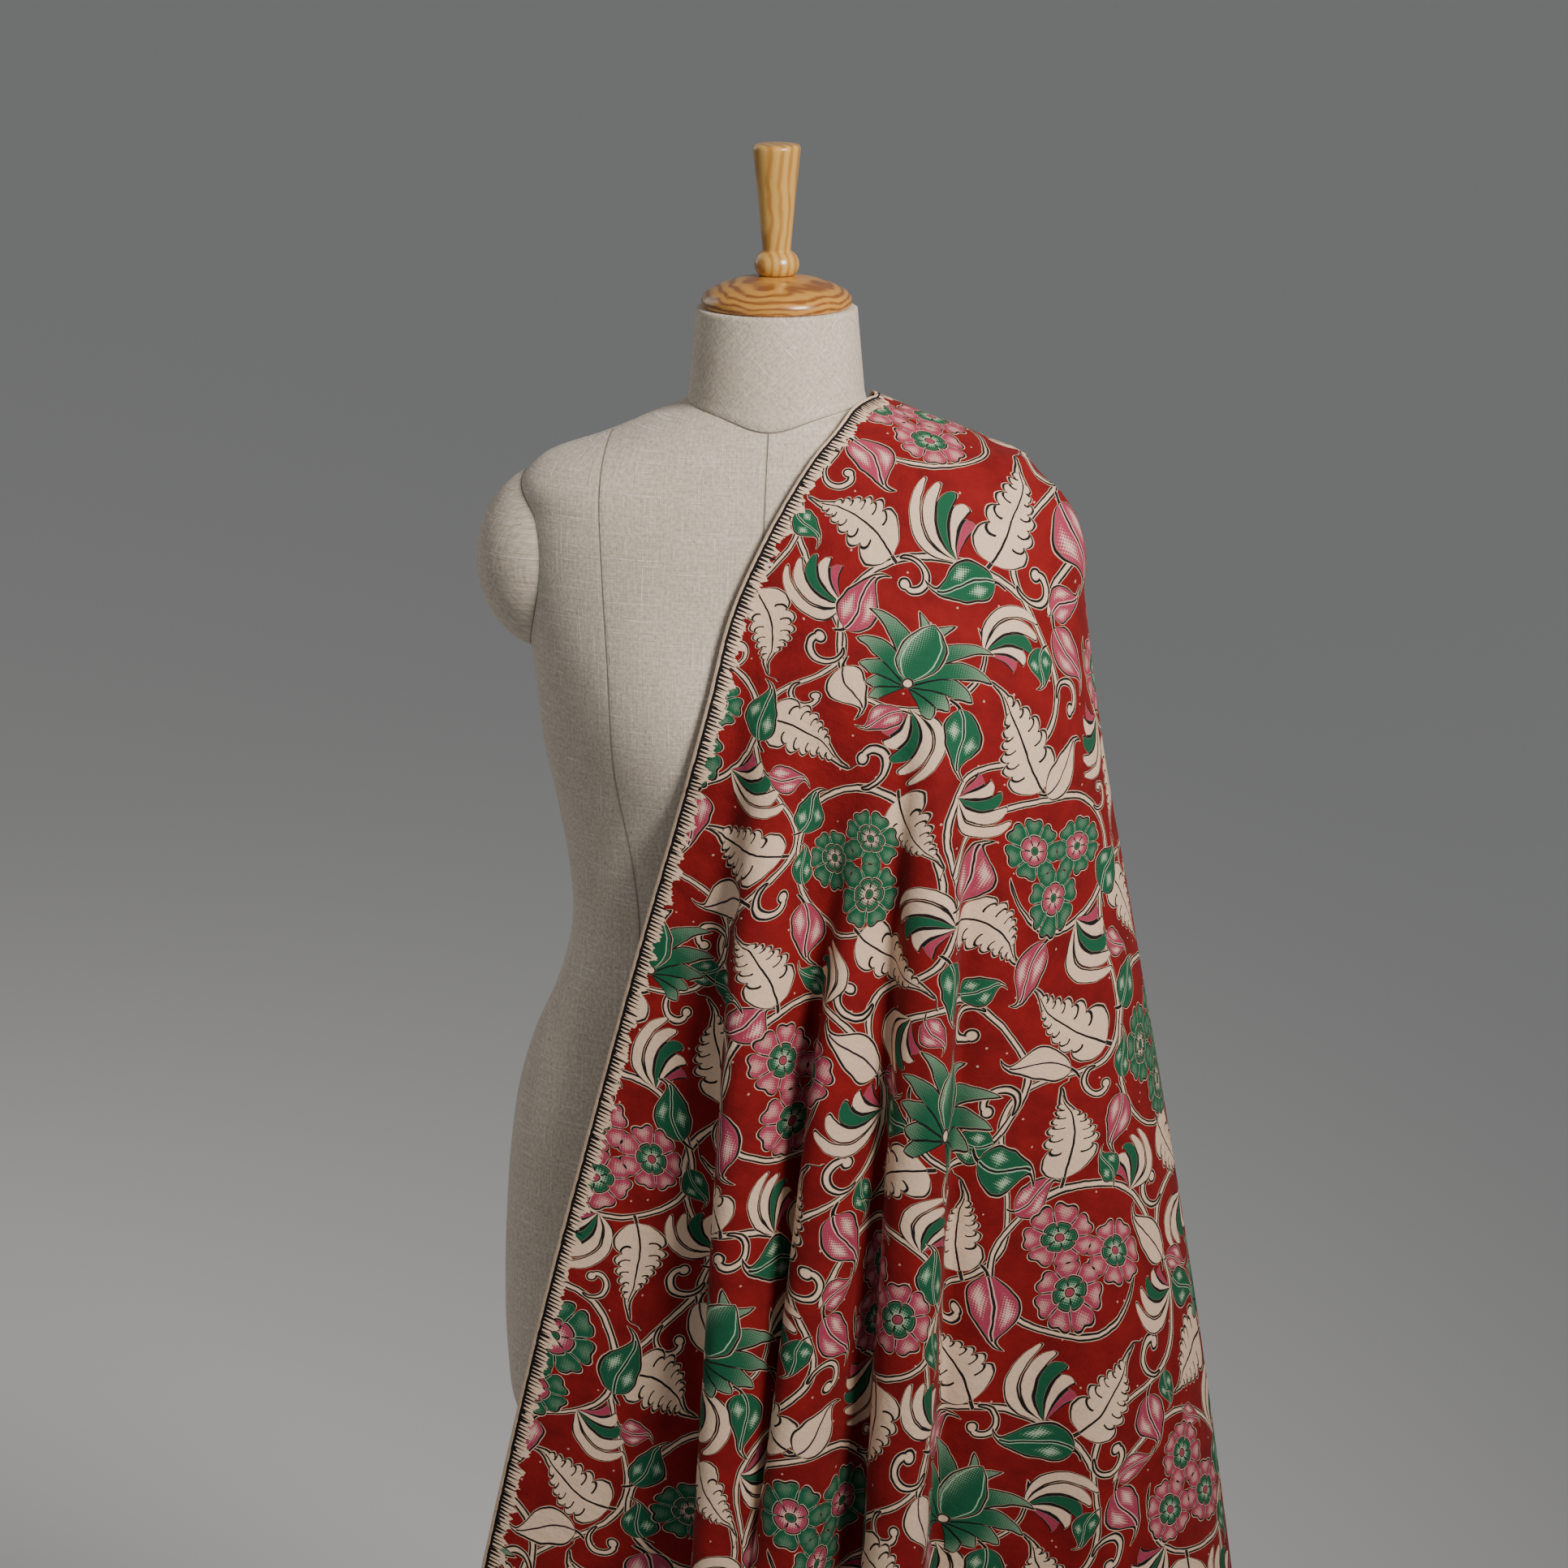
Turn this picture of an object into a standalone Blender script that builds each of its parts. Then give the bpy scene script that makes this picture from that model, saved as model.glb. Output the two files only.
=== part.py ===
# A kalamkari cotton length draped over one shoulder of a linen dress form on a stand.
# Metres, +Z up. The form faces -Y, the origin is the middle of the foot's underside.
import math

import bmesh
import bpy
import numpy as np

GAP = 0.0003              # air between touching pieces
CLOTH_THICKNESS = 0.002
CLOTH_CLEARANCE = 0.0060  # middle of the sheet to the torso below it
CLOTH_ON_ARM = 0.0039     # the same where it rests on the arm cap

CLOTH_TOP = 1.412         # where the selvedge crosses the shoulder
FORM_BOTTOM = 0.665
NECK_TOP = 1.4715
NECK_TOP_RADIUS = 0.0545
NECK_BASE_RADIUS = 0.0600
POLE_RADIUS = 0.016
BASE_RADIUS = 0.190
BASE_HEIGHT = 0.030
ARM_CENTRE = (0.154, 0.002, 1.297)
ARM_RADII = (0.0527, 0.0580, 0.0640)
BUST = {"x": 0.078, "z": 1.205, "spread_x": 0.042, "spread_z": 0.050, "height": 0.020}

# Torso sections: height, half width, depth to the front, depth to the back, squareness
TORSO = [
    (1.4200, 0.0440, 0.0400, 0.0420, 2.0),
    (1.4080, 0.0620, 0.0540, 0.0560, 2.0),
    (1.3960, 0.0900, 0.0610, 0.0610, 2.1),
    (1.3830, 0.1200, 0.0680, 0.0660, 2.1),
    (1.3700, 0.1570, 0.0750, 0.0710, 2.2),
    (1.3580, 0.1710, 0.0810, 0.0760, 2.4),
    (1.3300, 0.1725, 0.0930, 0.0850, 2.5),
    (1.3000, 0.1720, 0.1010, 0.0920, 2.5),
    (1.2600, 0.1700, 0.1080, 0.0990, 2.4),
    (1.2200, 0.1655, 0.1120, 0.1010, 2.3),
    (1.1740, 0.1605, 0.1120, 0.0970, 2.2),
    (1.1280, 0.1512, 0.1040, 0.0900, 2.2),
    (1.0760, 0.1430, 0.0960, 0.0830, 2.2),
    (1.0520, 0.1417, 0.0930, 0.0810, 2.2),
    (0.9990, 0.1530, 0.0960, 0.0880, 2.2),
    (0.9630, 0.1690, 0.1010, 0.0990, 2.2),
    (0.9270, 0.1800, 0.1070, 0.1120, 2.2),
    (0.8790, 0.1873, 0.1120, 0.1240, 2.2),
    (0.8310, 0.1909, 0.1150, 0.1300, 2.2),
    (0.7820, 0.1927, 0.1150, 0.1290, 2.2),
    (0.7270, 0.1916, 0.1130, 0.1240, 2.2),
    (0.6900, 0.1874, 0.1080, 0.1180, 2.2),
    (FORM_BOTTOM, 0.1780, 0.1000, 0.1100, 2.2),
]

# The cloth's section at each height, as x and y of seven points round the form:
# front selvedge, front middle, front right, side, back right, back middle, back selvedge
CLOTH_KNOTS = (0.00, 0.20, 0.40, 0.53, 0.66, 0.83, 1.00)
CLOTH = [
    (1.412, 0.066, -0.004, 0.067, -0.003, 0.067, -0.002, 0.068, 0.000, 0.067, 0.002, 0.067, 0.003, 0.066, 0.004),
    (1.381, 0.034, -0.060, 0.085, -0.058, 0.128, -0.040, 0.148, 0.000, 0.128, 0.040, 0.090, 0.058, 0.046, 0.062),
    (1.336, 0.005, -0.090, 0.080, -0.090, 0.165, -0.052, 0.198, 0.000, 0.170, 0.052, 0.095, 0.084, 0.024, 0.086),
    (1.288, -0.018, -0.108, 0.075, -0.112, 0.180, -0.064, 0.208, 0.000, 0.180, 0.066, 0.090, 0.096, 0.010, 0.098),
    (1.227, -0.034, -0.120, 0.078, -0.128, 0.185, -0.080, 0.216, 0.000, 0.185, 0.080, 0.090, 0.108, -0.004, 0.107),
    (1.171, -0.049, -0.121, 0.078, -0.130, 0.188, -0.090, 0.224, 0.000, 0.190, 0.088, 0.090, 0.114, -0.014, 0.110),
    (1.049, -0.084, -0.116, 0.074, -0.126, 0.200, -0.098, 0.246, 0.000, 0.205, 0.098, 0.085, 0.120, -0.034, 0.115),
    (0.930, -0.116, -0.116, 0.066, -0.124, 0.216, -0.102, 0.268, 0.000, 0.220, 0.108, 0.080, 0.134, -0.054, 0.130),
    (0.802, -0.149, -0.122, 0.058, -0.124, 0.232, -0.106, 0.290, 0.000, 0.236, 0.120, 0.074, 0.148, -0.076, 0.142),
    (0.602, -0.195, -0.124, 0.044, -0.126, 0.252, -0.112, 0.320, 0.000, 0.258, 0.126, 0.066, 0.150, -0.108, 0.142),
    (0.400, -0.240, -0.124, 0.030, -0.126, 0.268, -0.116, 0.346, 0.000, 0.276, 0.130, 0.058, 0.148, -0.138, 0.140),
    (0.200, -0.284, -0.124, 0.016, -0.126, 0.280, -0.118, 0.366, 0.000, 0.290, 0.132, 0.050, 0.146, -0.168, 0.138),
]

# Height of the lower edge along the section, and of the sheet's middle row
HEM = [(0.00, 0.460), (0.14, 0.420), (0.28, 0.360), (0.42, 0.260), (0.53, 0.180),
       (0.64, 0.230), (0.78, 0.330), (0.90, 0.430), (1.00, 0.490)]

# Folds of the front and of the back. Each runs from its first height to the lower edge:
# middle x at two heights, half width there, how far it stands out, how far its crest
# leans to the left, how far its flanks bulge over, the height where it starts and its reach
FOLD_HIGH, FOLD_LOW = 0.930, 0.650
FRONT_FOLDS = [
    {"name": "left", "x": (0.004, -0.006), "half": (0.034, 0.036), "out": (0.036, 0.052),
     "lean": (0.014, 0.018), "bulge": (0.005, 0.007), "start": 1.270, "grow": 0.38},
    {"name": "middle", "x": (0.062, 0.036), "half": (0.034, 0.034), "out": (0.040, 0.058),
     "lean": (0.014, 0.017), "bulge": (0.005, 0.007), "start": 1.230, "grow": 0.34},
    {"name": "right", "x": (0.108, 0.096), "half": (0.027, 0.028), "out": (0.032, 0.046),
     "lean": (0.000, 0.002), "bulge": (0.009, 0.012), "start": 1.240, "grow": 0.32},
    {"name": "hollow", "x": (0.192, 0.190), "half": (0.050, 0.060), "out": (-0.010, -0.009),
     "lean": (0.0, 0.0), "bulge": (0.0, 0.0), "start": 1.200, "grow": 0.20},
]
BACK_FOLDS = [
    {"name": "back_side", "x": (0.232, 0.250), "half": (0.030, 0.034), "out": (0.026, 0.050),
     "lean": (0.0, 0.0), "bulge": (0.004, 0.008), "start": 1.200, "grow": 0.34},
    {"name": "back_outer", "x": (0.166, 0.176), "half": (0.032, 0.036), "out": (0.040, 0.066),
     "lean": (0.0, 0.0), "bulge": (0.005, 0.009), "start": 1.240, "grow": 0.36},
    {"name": "back_middle", "x": (0.098, 0.098), "half": (0.033, 0.038), "out": (0.046, 0.072),
     "lean": (0.004, 0.006), "bulge": (0.005, 0.009), "start": 1.270, "grow": 0.38},
    {"name": "back_inner", "x": (0.024, 0.010), "half": (0.034, 0.040), "out": (0.038, 0.062),
     "lean": (-0.004, -0.006), "bulge": (0.004, 0.008), "start": 1.220, "grow": 0.36},
]

# Columns of the sheet: where each stretch of the section ends and its number of columns
COLUMNS = [(0.115, 4), (0.350, 29), (0.55, 7), (0.92, 32), (1.00, 2)]
ROWS = 23


def curve_row(table, at):
    """Smooth values of a table between its rows, whose first column is the key."""
    keys = np.array([row[0] for row in table])
    values = np.array([row[1:] for row in table])
    if keys[0] > keys[-1]:
        keys = keys[::-1]
        values = values[::-1]
    slopes = np.gradient(values, keys, axis=0)
    at = min(max(at, keys[0]), keys[-1])
    k = min(int(np.searchsorted(keys, at, side="right")) - 1, len(keys) - 2)
    step = keys[k + 1] - keys[k]
    t = (at - keys[k]) / step
    low = values[k] * (1 + 2 * t) * (1 - t) ** 2 + values[k + 1] * t * t * (3 - 2 * t)
    return low + step * (slopes[k] * t * (1 - t) ** 2 - slopes[k + 1] * t * t * (1 - t))


def smooth_step(t):
    t = min(max(t, 0.0), 1.0)
    return t * t * (3.0 - 2.0 * t)


# ---- the form -------------------------------------------------------------------------

def torso_radius(angle, z):
    """Distance of the torso's skin from the Z axis, at an angle from +X."""
    half, front, back, power = curve_row(TORSO, z)
    c = abs(math.cos(angle))
    s = math.sin(angle)
    depth = front if s < 0.0 else back
    radius = ((c / half) ** power + (abs(s) / depth) ** power) ** (-1.0 / power)
    if s < 0.0:
        across = (radius * c - BUST["x"]) / BUST["spread_x"]
        up = (z - BUST["z"]) / BUST["spread_z"]
        radius += BUST["height"] * math.exp(-0.5 * (across * across + up * up)) * abs(s)
    return radius


def neck_radius(z):
    t = (z - 1.408) / (NECK_TOP - 1.408)
    return NECK_BASE_RADIUS + (NECK_TOP_RADIUS - NECK_BASE_RADIUS) * t


def mesh_object(name, mesh, collection):
    obj = bpy.data.objects.new(name, mesh)
    collection.objects.link(obj)
    return obj


def loft_object(name, rings, collection):
    """Closed solid from rings of points that run counter-clockwise, top ring first."""
    count = len(rings[0])
    points = [p for ring in rings for p in ring]
    faces = [tuple(range(count))]
    for r in range(len(rings) - 1):
        for k in range(count):
            a = r * count + k
            b = r * count + (k + 1) % count
            faces.append((b, a, a + count))
            faces.append((b, a + count, b + count))
    last = (len(rings) - 1) * count
    faces.append(tuple(last + k for k in reversed(range(count))))
    mesh = bpy.data.meshes.new(name)
    mesh.from_pydata(points, [], faces)
    mesh.update()
    return mesh_object(name, mesh, collection)


def torso_rings(grow, around=40):
    heights = [row[0] for row in TORSO]
    heights += [1.2400, 1.1960, 1.1500, 1.1020, 1.0260]
    rings = []
    for z in sorted(heights, reverse=True):
        ring = []
        for k in range(around):
            angle = 2.0 * math.pi * k / around
            r = torso_radius(angle, z) + grow
            ring.append((r * math.cos(angle), r * math.sin(angle), z))
        rings.append(ring)
    return rings


def cut_by(obj, cutter):
    cut = obj.modifiers.new("seat", "BOOLEAN")
    cut.operation = "DIFFERENCE"
    cut.solver = "EXACT"
    cut.object = cutter
    return cut


def turned_object(name, profile, collection, steps=32):
    """A turning: its profile runs down the outer side, from the axis to the axis."""
    mesh = bpy.data.meshes.new(name)
    edges = [(k, k + 1) for k in range(len(profile) - 1)]
    mesh.from_pydata([(r, 0.0, z) for r, z in profile], edges, [])
    obj = mesh_object(name, mesh, collection)
    screw = obj.modifiers.new("turn", "SCREW")
    screw.axis = "Z"
    screw.angle = 2.0 * math.pi
    screw.steps = steps
    screw.render_steps = steps
    screw.use_merge_vertices = True
    screw.merge_threshold = 0.00005
    return obj


def rounded(profile_from, profile_to, corner, count=4):
    """Points of a quarter round between two directions at a corner."""
    points = []
    for k in range(count + 1):
        t = 0.5 * math.pi * k / count
        x = corner[0] + profile_from[0] * math.cos(t) + profile_to[0] * math.sin(t)
        z = corner[1] + profile_from[1] * math.cos(t) + profile_to[1] * math.sin(t)
        points.append((x, z))
    return points


# ---- the cloth ------------------------------------------------------------------------

def arm_distance(x, y, z):
    """Rough distance outside the arm cap, whose middle is well inside the torso."""
    d = [(p - c) / r for p, c, r in zip((x, y, z), ARM_CENTRE, ARM_RADII)]
    length = math.sqrt(sum(v * v for v in d))
    slope = math.sqrt(sum((v / r) ** 2 for v, r in zip(d, ARM_RADII)))
    return (length - 1.0) * length / max(slope, 1e-6)


def torso_distance(x, y, z):
    """Rough distance outside the torso and the neck."""
    around = math.hypot(x, y)
    if z > TORSO[0][0]:
        return around - neck_radius(z)
    def level(px, py, pz):
        return math.hypot(px, py) - torso_radius(math.atan2(py, px), pz)
    e = 0.001
    value = level(x, y, z)
    gx = (level(x + e, y, z) - level(x - e, y, z)) / (2 * e)
    gy = (level(x, y + e, z) - level(x, y - e, z)) / (2 * e)
    gz = (level(x, y, min(z + e, 1.4199)) - level(x, y, z - e)) / (2 * e)
    return value / math.sqrt(gx * gx + gy * gy + gz * gz)


def pushed_clear(point, distance, clearance):
    """The point moved off a support until the sheet has its clearance."""
    for _ in range(4):
        short = clearance - distance(*point)
        if short <= 0.00005:
            break
        e = 0.001
        g = []
        for k in range(3):
            ahead = list(point)
            behind = list(point)
            ahead[k] += e
            behind[k] -= e
            g.append((distance(*ahead) - distance(*behind)) / (2 * e))
        size = math.sqrt(sum(v * v for v in g)) or 1.0
        point = [p + short * v / size for p, v in zip(point, g)]
    return point


def fold_shape(folds, x, z):
    """How far a row of folds moves the cloth sideways and out, at one x and height."""
    side = 0.0
    out = 0.0
    drop = (FOLD_HIGH - z) / (FOLD_HIGH - FOLD_LOW)
    for fold in folds:
        grow = smooth_step((fold["start"] - z) / fold["grow"])
        if grow <= 0.0:
            continue
        def at(key, low=-0.8, high=1.5):
            t = min(max(drop, low), high)
            return fold[key][0] + (fold[key][1] - fold[key][0]) * t
        t = (x - at("x")) / at("half")
        if abs(t) >= 1.0:
            continue
        swell = 0.5 + 0.5 * math.cos(math.pi * t)
        out += grow * at("out") * swell
        side += grow * (at("bulge") * math.sin(math.pi * t) * swell - at("lean") * swell)
    return side, out


def cloth_point(u, t):
    """Middle of the sheet: u runs from selvedge to selvedge, t from the top to the hem."""
    hem = float(curve_row(HEM, u)[0])
    z = CLOTH_TOP + (hem - CLOTH_TOP) * t
    row = curve_row(CLOTH, z)
    section = [(knot, row[2 * k], row[2 * k + 1]) for k, knot in enumerate(CLOTH_KNOTS)]
    x, y = curve_row(section, u)
    if u < CLOTH_KNOTS[3]:
        side, out = fold_shape(FRONT_FOLDS, x, z)
        y -= out
    else:
        side, out = fold_shape(BACK_FOLDS, x, z)
        y += out
    x += side
    point = [float(x), float(y), z]
    if z > 1.15:
        point = pushed_clear(point, arm_distance, CLOTH_ON_ARM)
    return pushed_clear(point, torso_distance, CLOTH_CLEARANCE)


def cloth_object(name, collection):
    columns = [0.0]
    for end, count in COLUMNS:
        start = columns[-1]
        columns += [start + (end - start) * (k + 1) / count for k in range(count)]
    fall = [k / ROWS for k in range(1, ROWS + 1)]
    points = [tuple(cloth_point(0.53, 0.0))]
    for t in fall:
        t = t ** 1.6
        points += [tuple(cloth_point(u, t)) for u in columns]
    wide = len(columns)
    faces = [(0, 1 + k, 2 + k) for k in range(wide - 1)]
    for r in range(ROWS - 1):
        for k in range(wide - 1):
            a = 1 + r * wide + k
            faces.append((a + 1, a, a + wide, a + wide + 1))
    mesh = bpy.data.meshes.new(name)
    mesh.from_pydata(points, [], faces)
    mesh.update()
    obj = mesh_object(name, mesh, collection)
    wall = obj.modifiers.new("thickness", "SOLIDIFY")
    wall.thickness = CLOTH_THICKNESS
    wall.offset = 0.0
    wall.use_even_offset = False
    return obj


# ---- finishes and assembly ------------------------------------------------------------

def finish(name, colour, roughness):
    material = bpy.data.materials.new(name)
    material.use_nodes = True
    shader = material.node_tree.nodes["Principled BSDF"]
    shader.inputs["Base Color"].default_value = (*colour, 1.0)
    shader.inputs["Roughness"].default_value = roughness
    shader.inputs["Metallic"].default_value = 0.0
    return material


def dress(obj, material, smooth=True):
    obj.data.materials.append(material)
    if smooth:
        obj.data.shade_smooth()


def main():
    for obj in list(bpy.data.objects):
        bpy.data.objects.remove(obj, do_unlink=True)
    parts = bpy.data.collections.new("kalamkari_on_dress_form")
    cutters = bpy.data.collections.new("cutters")
    bpy.context.scene.collection.children.link(parts)
    bpy.context.scene.collection.children.link(cutters)

    linen = finish("linen", (0.58, 0.52, 0.44), 0.92)
    maple = finish("varnished_wood", (0.60, 0.33, 0.12), 0.35)
    print_red = finish("printed_cotton", (0.33, 0.011, 0.010), 0.85)
    black = finish("dark_metal", (0.03, 0.03, 0.03), 0.45)

    torso = loft_object("form_torso", torso_rings(0.0), parts)
    dress(torso, linen)
    seat = loft_object("torso_seat", torso_rings(0.0006), cutters)
    seat.hide_render = True
    seat.display_type = "WIRE"

    neck_rings = []
    for z in (NECK_TOP, 1.455, 1.430, 1.405, 1.380, 1.350):
        r = neck_radius(z)
        turns = [0.037 + 2.0 * math.pi * k / 36 for k in range(36)]
        neck_rings.append([(r * math.cos(a), r * math.sin(a), z) for a in turns])
    neck = loft_object("form_neck", neck_rings, parts)
    dress(neck, linen)
    cut_by(neck, seat)

    for name, side in (("form_arm_left", 1.0), ("form_arm_right", -1.0)):
        mesh = bpy.data.meshes.new(name)
        shape = bmesh.new()
        bmesh.ops.create_uvsphere(shape, u_segments=20, v_segments=13, radius=1.0)
        bmesh.ops.scale(shape, vec=ARM_RADII, verts=shape.verts)
        bmesh.ops.translate(shape, vec=(ARM_CENTRE[0] * side, ARM_CENTRE[1], ARM_CENTRE[2]),
                            verts=shape.verts)
        shape.to_mesh(mesh)
        shape.free()
        arm = mesh_object(name, mesh, parts)
        dress(arm, linen)
        cut_by(arm, seat)

    low = NECK_TOP + GAP
    cap_profile = [(0.0, low + 0.0210), (0.012, low + 0.0207), (0.024, low + 0.0190),
                   (0.036, low + 0.0155), (0.044, low + 0.0115), (0.0490, low + 0.0080),
                   (0.0508, low + 0.0050), (0.0505, low + 0.0022), (0.0490, low), (0.0, low)]
    dress(turned_object("neck_cap", cap_profile, parts), maple)

    foot = low + 0.0210 + GAP
    finial_profile = [(0.0, 1.5815), (0.0110, 1.5812), (0.0150, 1.5803), (0.0162, 1.5785),
                      (0.0160, 1.5740), (0.0145, 1.5600), (0.0118, 1.5330), (0.0100, 1.5140),
                      (0.0096, 1.5095), (0.0112, 1.5080), (0.0140, 1.5045), (0.0152, 1.5000),
                      (0.0142, 1.4960), (0.0122, foot + 0.0005), (0.0, foot + 0.0005)]
    dress(turned_object("finial", finial_profile, parts, 22), maple)

    base_profile = [(0.0, BASE_HEIGHT), (0.030, BASE_HEIGHT)]
    base_profile += [(0.120, BASE_HEIGHT - 0.006), (BASE_RADIUS - 0.010, 0.018)]
    base_profile += rounded((0.0, 0.008), (0.008, 0.0), (BASE_RADIUS - 0.008, 0.010))
    base_profile += [(BASE_RADIUS, 0.003), (BASE_RADIUS - 0.003, 0.0), (0.0, 0.0)]
    dress(turned_object("stand_base", base_profile, parts, 36), black)

    pole_low = BASE_HEIGHT + GAP
    pole_high = FORM_BOTTOM - GAP
    mesh = bpy.data.meshes.new("stand_pole")
    shape = bmesh.new()
    bmesh.ops.create_cone(shape, cap_ends=True, segments=24, radius1=POLE_RADIUS,
                          radius2=POLE_RADIUS, depth=pole_high - pole_low)
    shape.to_mesh(mesh)
    shape.free()
    pole = mesh_object("stand_pole", mesh, parts)
    pole.location = (0.0, 0.0, 0.5 * (pole_high + pole_low))
    dress(pole, black)

    dress(cloth_object("kalamkari_cloth", parts), print_red)


main()
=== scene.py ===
import math
import bpy
import numpy as np
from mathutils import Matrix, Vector


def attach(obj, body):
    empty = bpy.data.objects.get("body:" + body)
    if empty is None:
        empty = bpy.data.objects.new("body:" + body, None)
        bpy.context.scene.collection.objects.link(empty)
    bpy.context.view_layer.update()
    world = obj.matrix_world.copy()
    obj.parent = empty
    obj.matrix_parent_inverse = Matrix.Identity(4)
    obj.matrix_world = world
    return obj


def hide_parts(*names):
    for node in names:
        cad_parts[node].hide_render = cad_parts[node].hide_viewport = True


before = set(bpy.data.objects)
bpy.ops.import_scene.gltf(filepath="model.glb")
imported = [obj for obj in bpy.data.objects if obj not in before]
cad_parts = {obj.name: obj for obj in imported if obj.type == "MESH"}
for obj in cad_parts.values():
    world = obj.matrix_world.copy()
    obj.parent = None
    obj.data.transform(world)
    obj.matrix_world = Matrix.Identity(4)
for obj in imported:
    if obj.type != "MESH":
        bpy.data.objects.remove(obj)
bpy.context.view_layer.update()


# shared shape helpers, which follow the same sections as the solids

def rowBelow(keys, at):
    # the row below each place, the step to the next one and the share of it
    k = np.clip(np.searchsorted(keys, at, side="right") - 1, 0, len(keys) - 2)
    step = (keys[k + 1] - keys[k])[..., None]
    return k, step, (at - keys[k])[..., None] / step


def smoothBetween(low, high, lowSlope, highSlope, step, t):
    value = low * (1 + 2 * t) * (1 - t) ** 2 + high * t * t * (3 - 2 * t)
    return value + step * (lowSlope * t * (1 - t) ** 2 - highSlope * t * t * (1 - t))


def tableAt(table, at):
    # smooth values between the rows of a table, first column is the key
    rows = np.array(table, dtype=float)
    rows = rows[np.argsort(rows[:, 0])]
    keys, values = rows[:, 0], rows[:, 1:]
    slopes = np.gradient(values, keys, axis=0)
    k, step, t = rowBelow(keys, np.clip(np.asarray(at, dtype=float), keys[0], keys[-1]))
    return smoothBetween(values[k], values[k + 1], slopes[k], slopes[k + 1], step, t)


def smoothStep(t):
    t = np.clip(t, 0.0, 1.0)
    return t * t * (3.0 - 2.0 * t)


def nothingSelected():
    if bpy.context.object and bpy.context.object.mode != "OBJECT":
        bpy.ops.object.mode_set(mode="OBJECT")
    bpy.ops.object.select_all(action="DESELECT")


def pick(piece):
    nothingSelected()
    piece.select_set(True)
    bpy.context.view_layer.objects.active = piece


def gridFaces(rows, columns, closed):
    faces = []
    last = columns if closed else columns - 1
    for r in range(rows - 1):
        for k in range(last):
            a = r * columns + k
            b = r * columns + (k + 1) % columns
            faces.append((b, a, a + columns, b + columns))
    return faces


def primitive(name):
    # the primitive just added, named, with its place in its mesh, open to be shaped
    piece = bpy.context.object
    piece.name = name
    piece.data.name = name
    bpy.ops.object.transform_apply(location=True, rotation=True, scale=False)
    bpy.ops.object.mode_set(mode="EDIT")
    bpy.ops.mesh.select_all(action="SELECT")
    return piece


def pieceFromPoints(name, points, faces):
    mesh = bpy.data.meshes.new(name)
    mesh.from_pydata([tuple(p) for p in points], [], faces)
    mesh.update()
    piece = bpy.data.objects.new(name, mesh)
    bpy.context.scene.collection.objects.link(piece)
    return piece


def pointValues(piece, name, values):
    # a plain number on each point, for the materials
    attribute = piece.data.attributes.new(name, "FLOAT", "POINT")
    attribute.data.foreach_set("value", np.asarray(values, dtype=np.float32).ravel())


def cornersOf(piece):
    # the point at each corner of each face
    corner = np.empty(len(piece.data.loops), dtype=np.int64)
    piece.data.loops.foreach_get("vertex_index", corner)
    return corner


def flatMap(piece, across, along):
    # the cover's own flat pattern, in metres, as its UV map
    corner = cornersOf(piece)
    uv = np.column_stack([np.ravel(across)[corner], np.ravel(along)[corner]]).astype(np.float32)
    piece.data.uv_layers.new(name="flat").data.foreach_set("uv", uv.ravel())


# small helpers for the materials

def newMaterial(name):
    material = bpy.data.materials.new(name)
    material.use_nodes = True
    tree = material.node_tree
    return material, tree, tree.nodes["Principled BSDF"]


def isSocket(value):
    return isinstance(value, bpy.types.NodeSocket)


def addNode(kind, settings, inputs, tree=None):
    # a node beside those that feed it, or in the tree that is given
    tree = tree or next(value.id_data for value in inputs.values() if isSocket(value))
    made = tree.nodes.new(kind)
    for key, value in settings.items():
        setattr(made, key, value)
    for key, value in inputs.items():
        if isSocket(value):
            tree.links.new(value, made.inputs[key])
        else:
            made.inputs[key].default_value = value
    return made


def maths(operation):
    # a function that adds one Math node and gives its result
    def result(a, b=0.0, c=None):
        inputs = {0: a, 1: b} if c is None else {0: a, 1: b, 2: c}
        return addNode("ShaderNodeMath", {"operation": operation}, inputs).outputs[0]
    return result


times, timesPlus, plus, minus, divided = map(maths, ("MULTIPLY", "MULTIPLY_ADD", "ADD", "SUBTRACT", "DIVIDE"))
isUnder, isOver, isAbout = map(maths, ("LESS_THAN", "GREATER_THAN", "COMPARE"))
signOf, nearest = map(maths, ("SIGN", "ROUND"))
least, greatest, absolute, root = map(maths, ("MINIMUM", "MAXIMUM", "ABSOLUTE", "SQRT"))
sine, cosine, arcTan, wrap, pingPong = map(maths, ("SINE", "COSINE", "ARCTAN2", "WRAP", "PINGPONG"))


def apart(a, b):
    return absolute(minus(a, b))


def lengthOf(x, y):
    return root(timesPlus(x, x, times(y, y)))


def arrows(operation, a, b=None, c=None):
    inputs = {number: value for number, value in enumerate((a, b, c)) if value is not None}
    made = addNode("ShaderNodeVectorMath", {"operation": operation}, inputs)
    return made.outputs["Value" if operation == "DISTANCE" else 0]


def parts(value, kind="XYZ"):
    # the three numbers of a place or, with kind Color, of a colour
    return addNode("ShaderNodeSeparate" + kind, {}, {0: value}).outputs


def awayFrom(centre, x, y):
    here = addNode("ShaderNodeCombineXYZ", {}, {0: x, 1: y}).outputs[0]
    return arrows("DISTANCE", here, centre)


def moved(place, at=(0.0, 0.0, 0.0), turn=0.0, size=(1.0, 1.0, 1.0), kind="POINT"):
    inputs = {0: place, 1: at, 2: (0.0, 0.0, turn), 3: size}
    return addNode("ShaderNodeMapping", {"vector_type": kind}, inputs).outputs[0]


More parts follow.
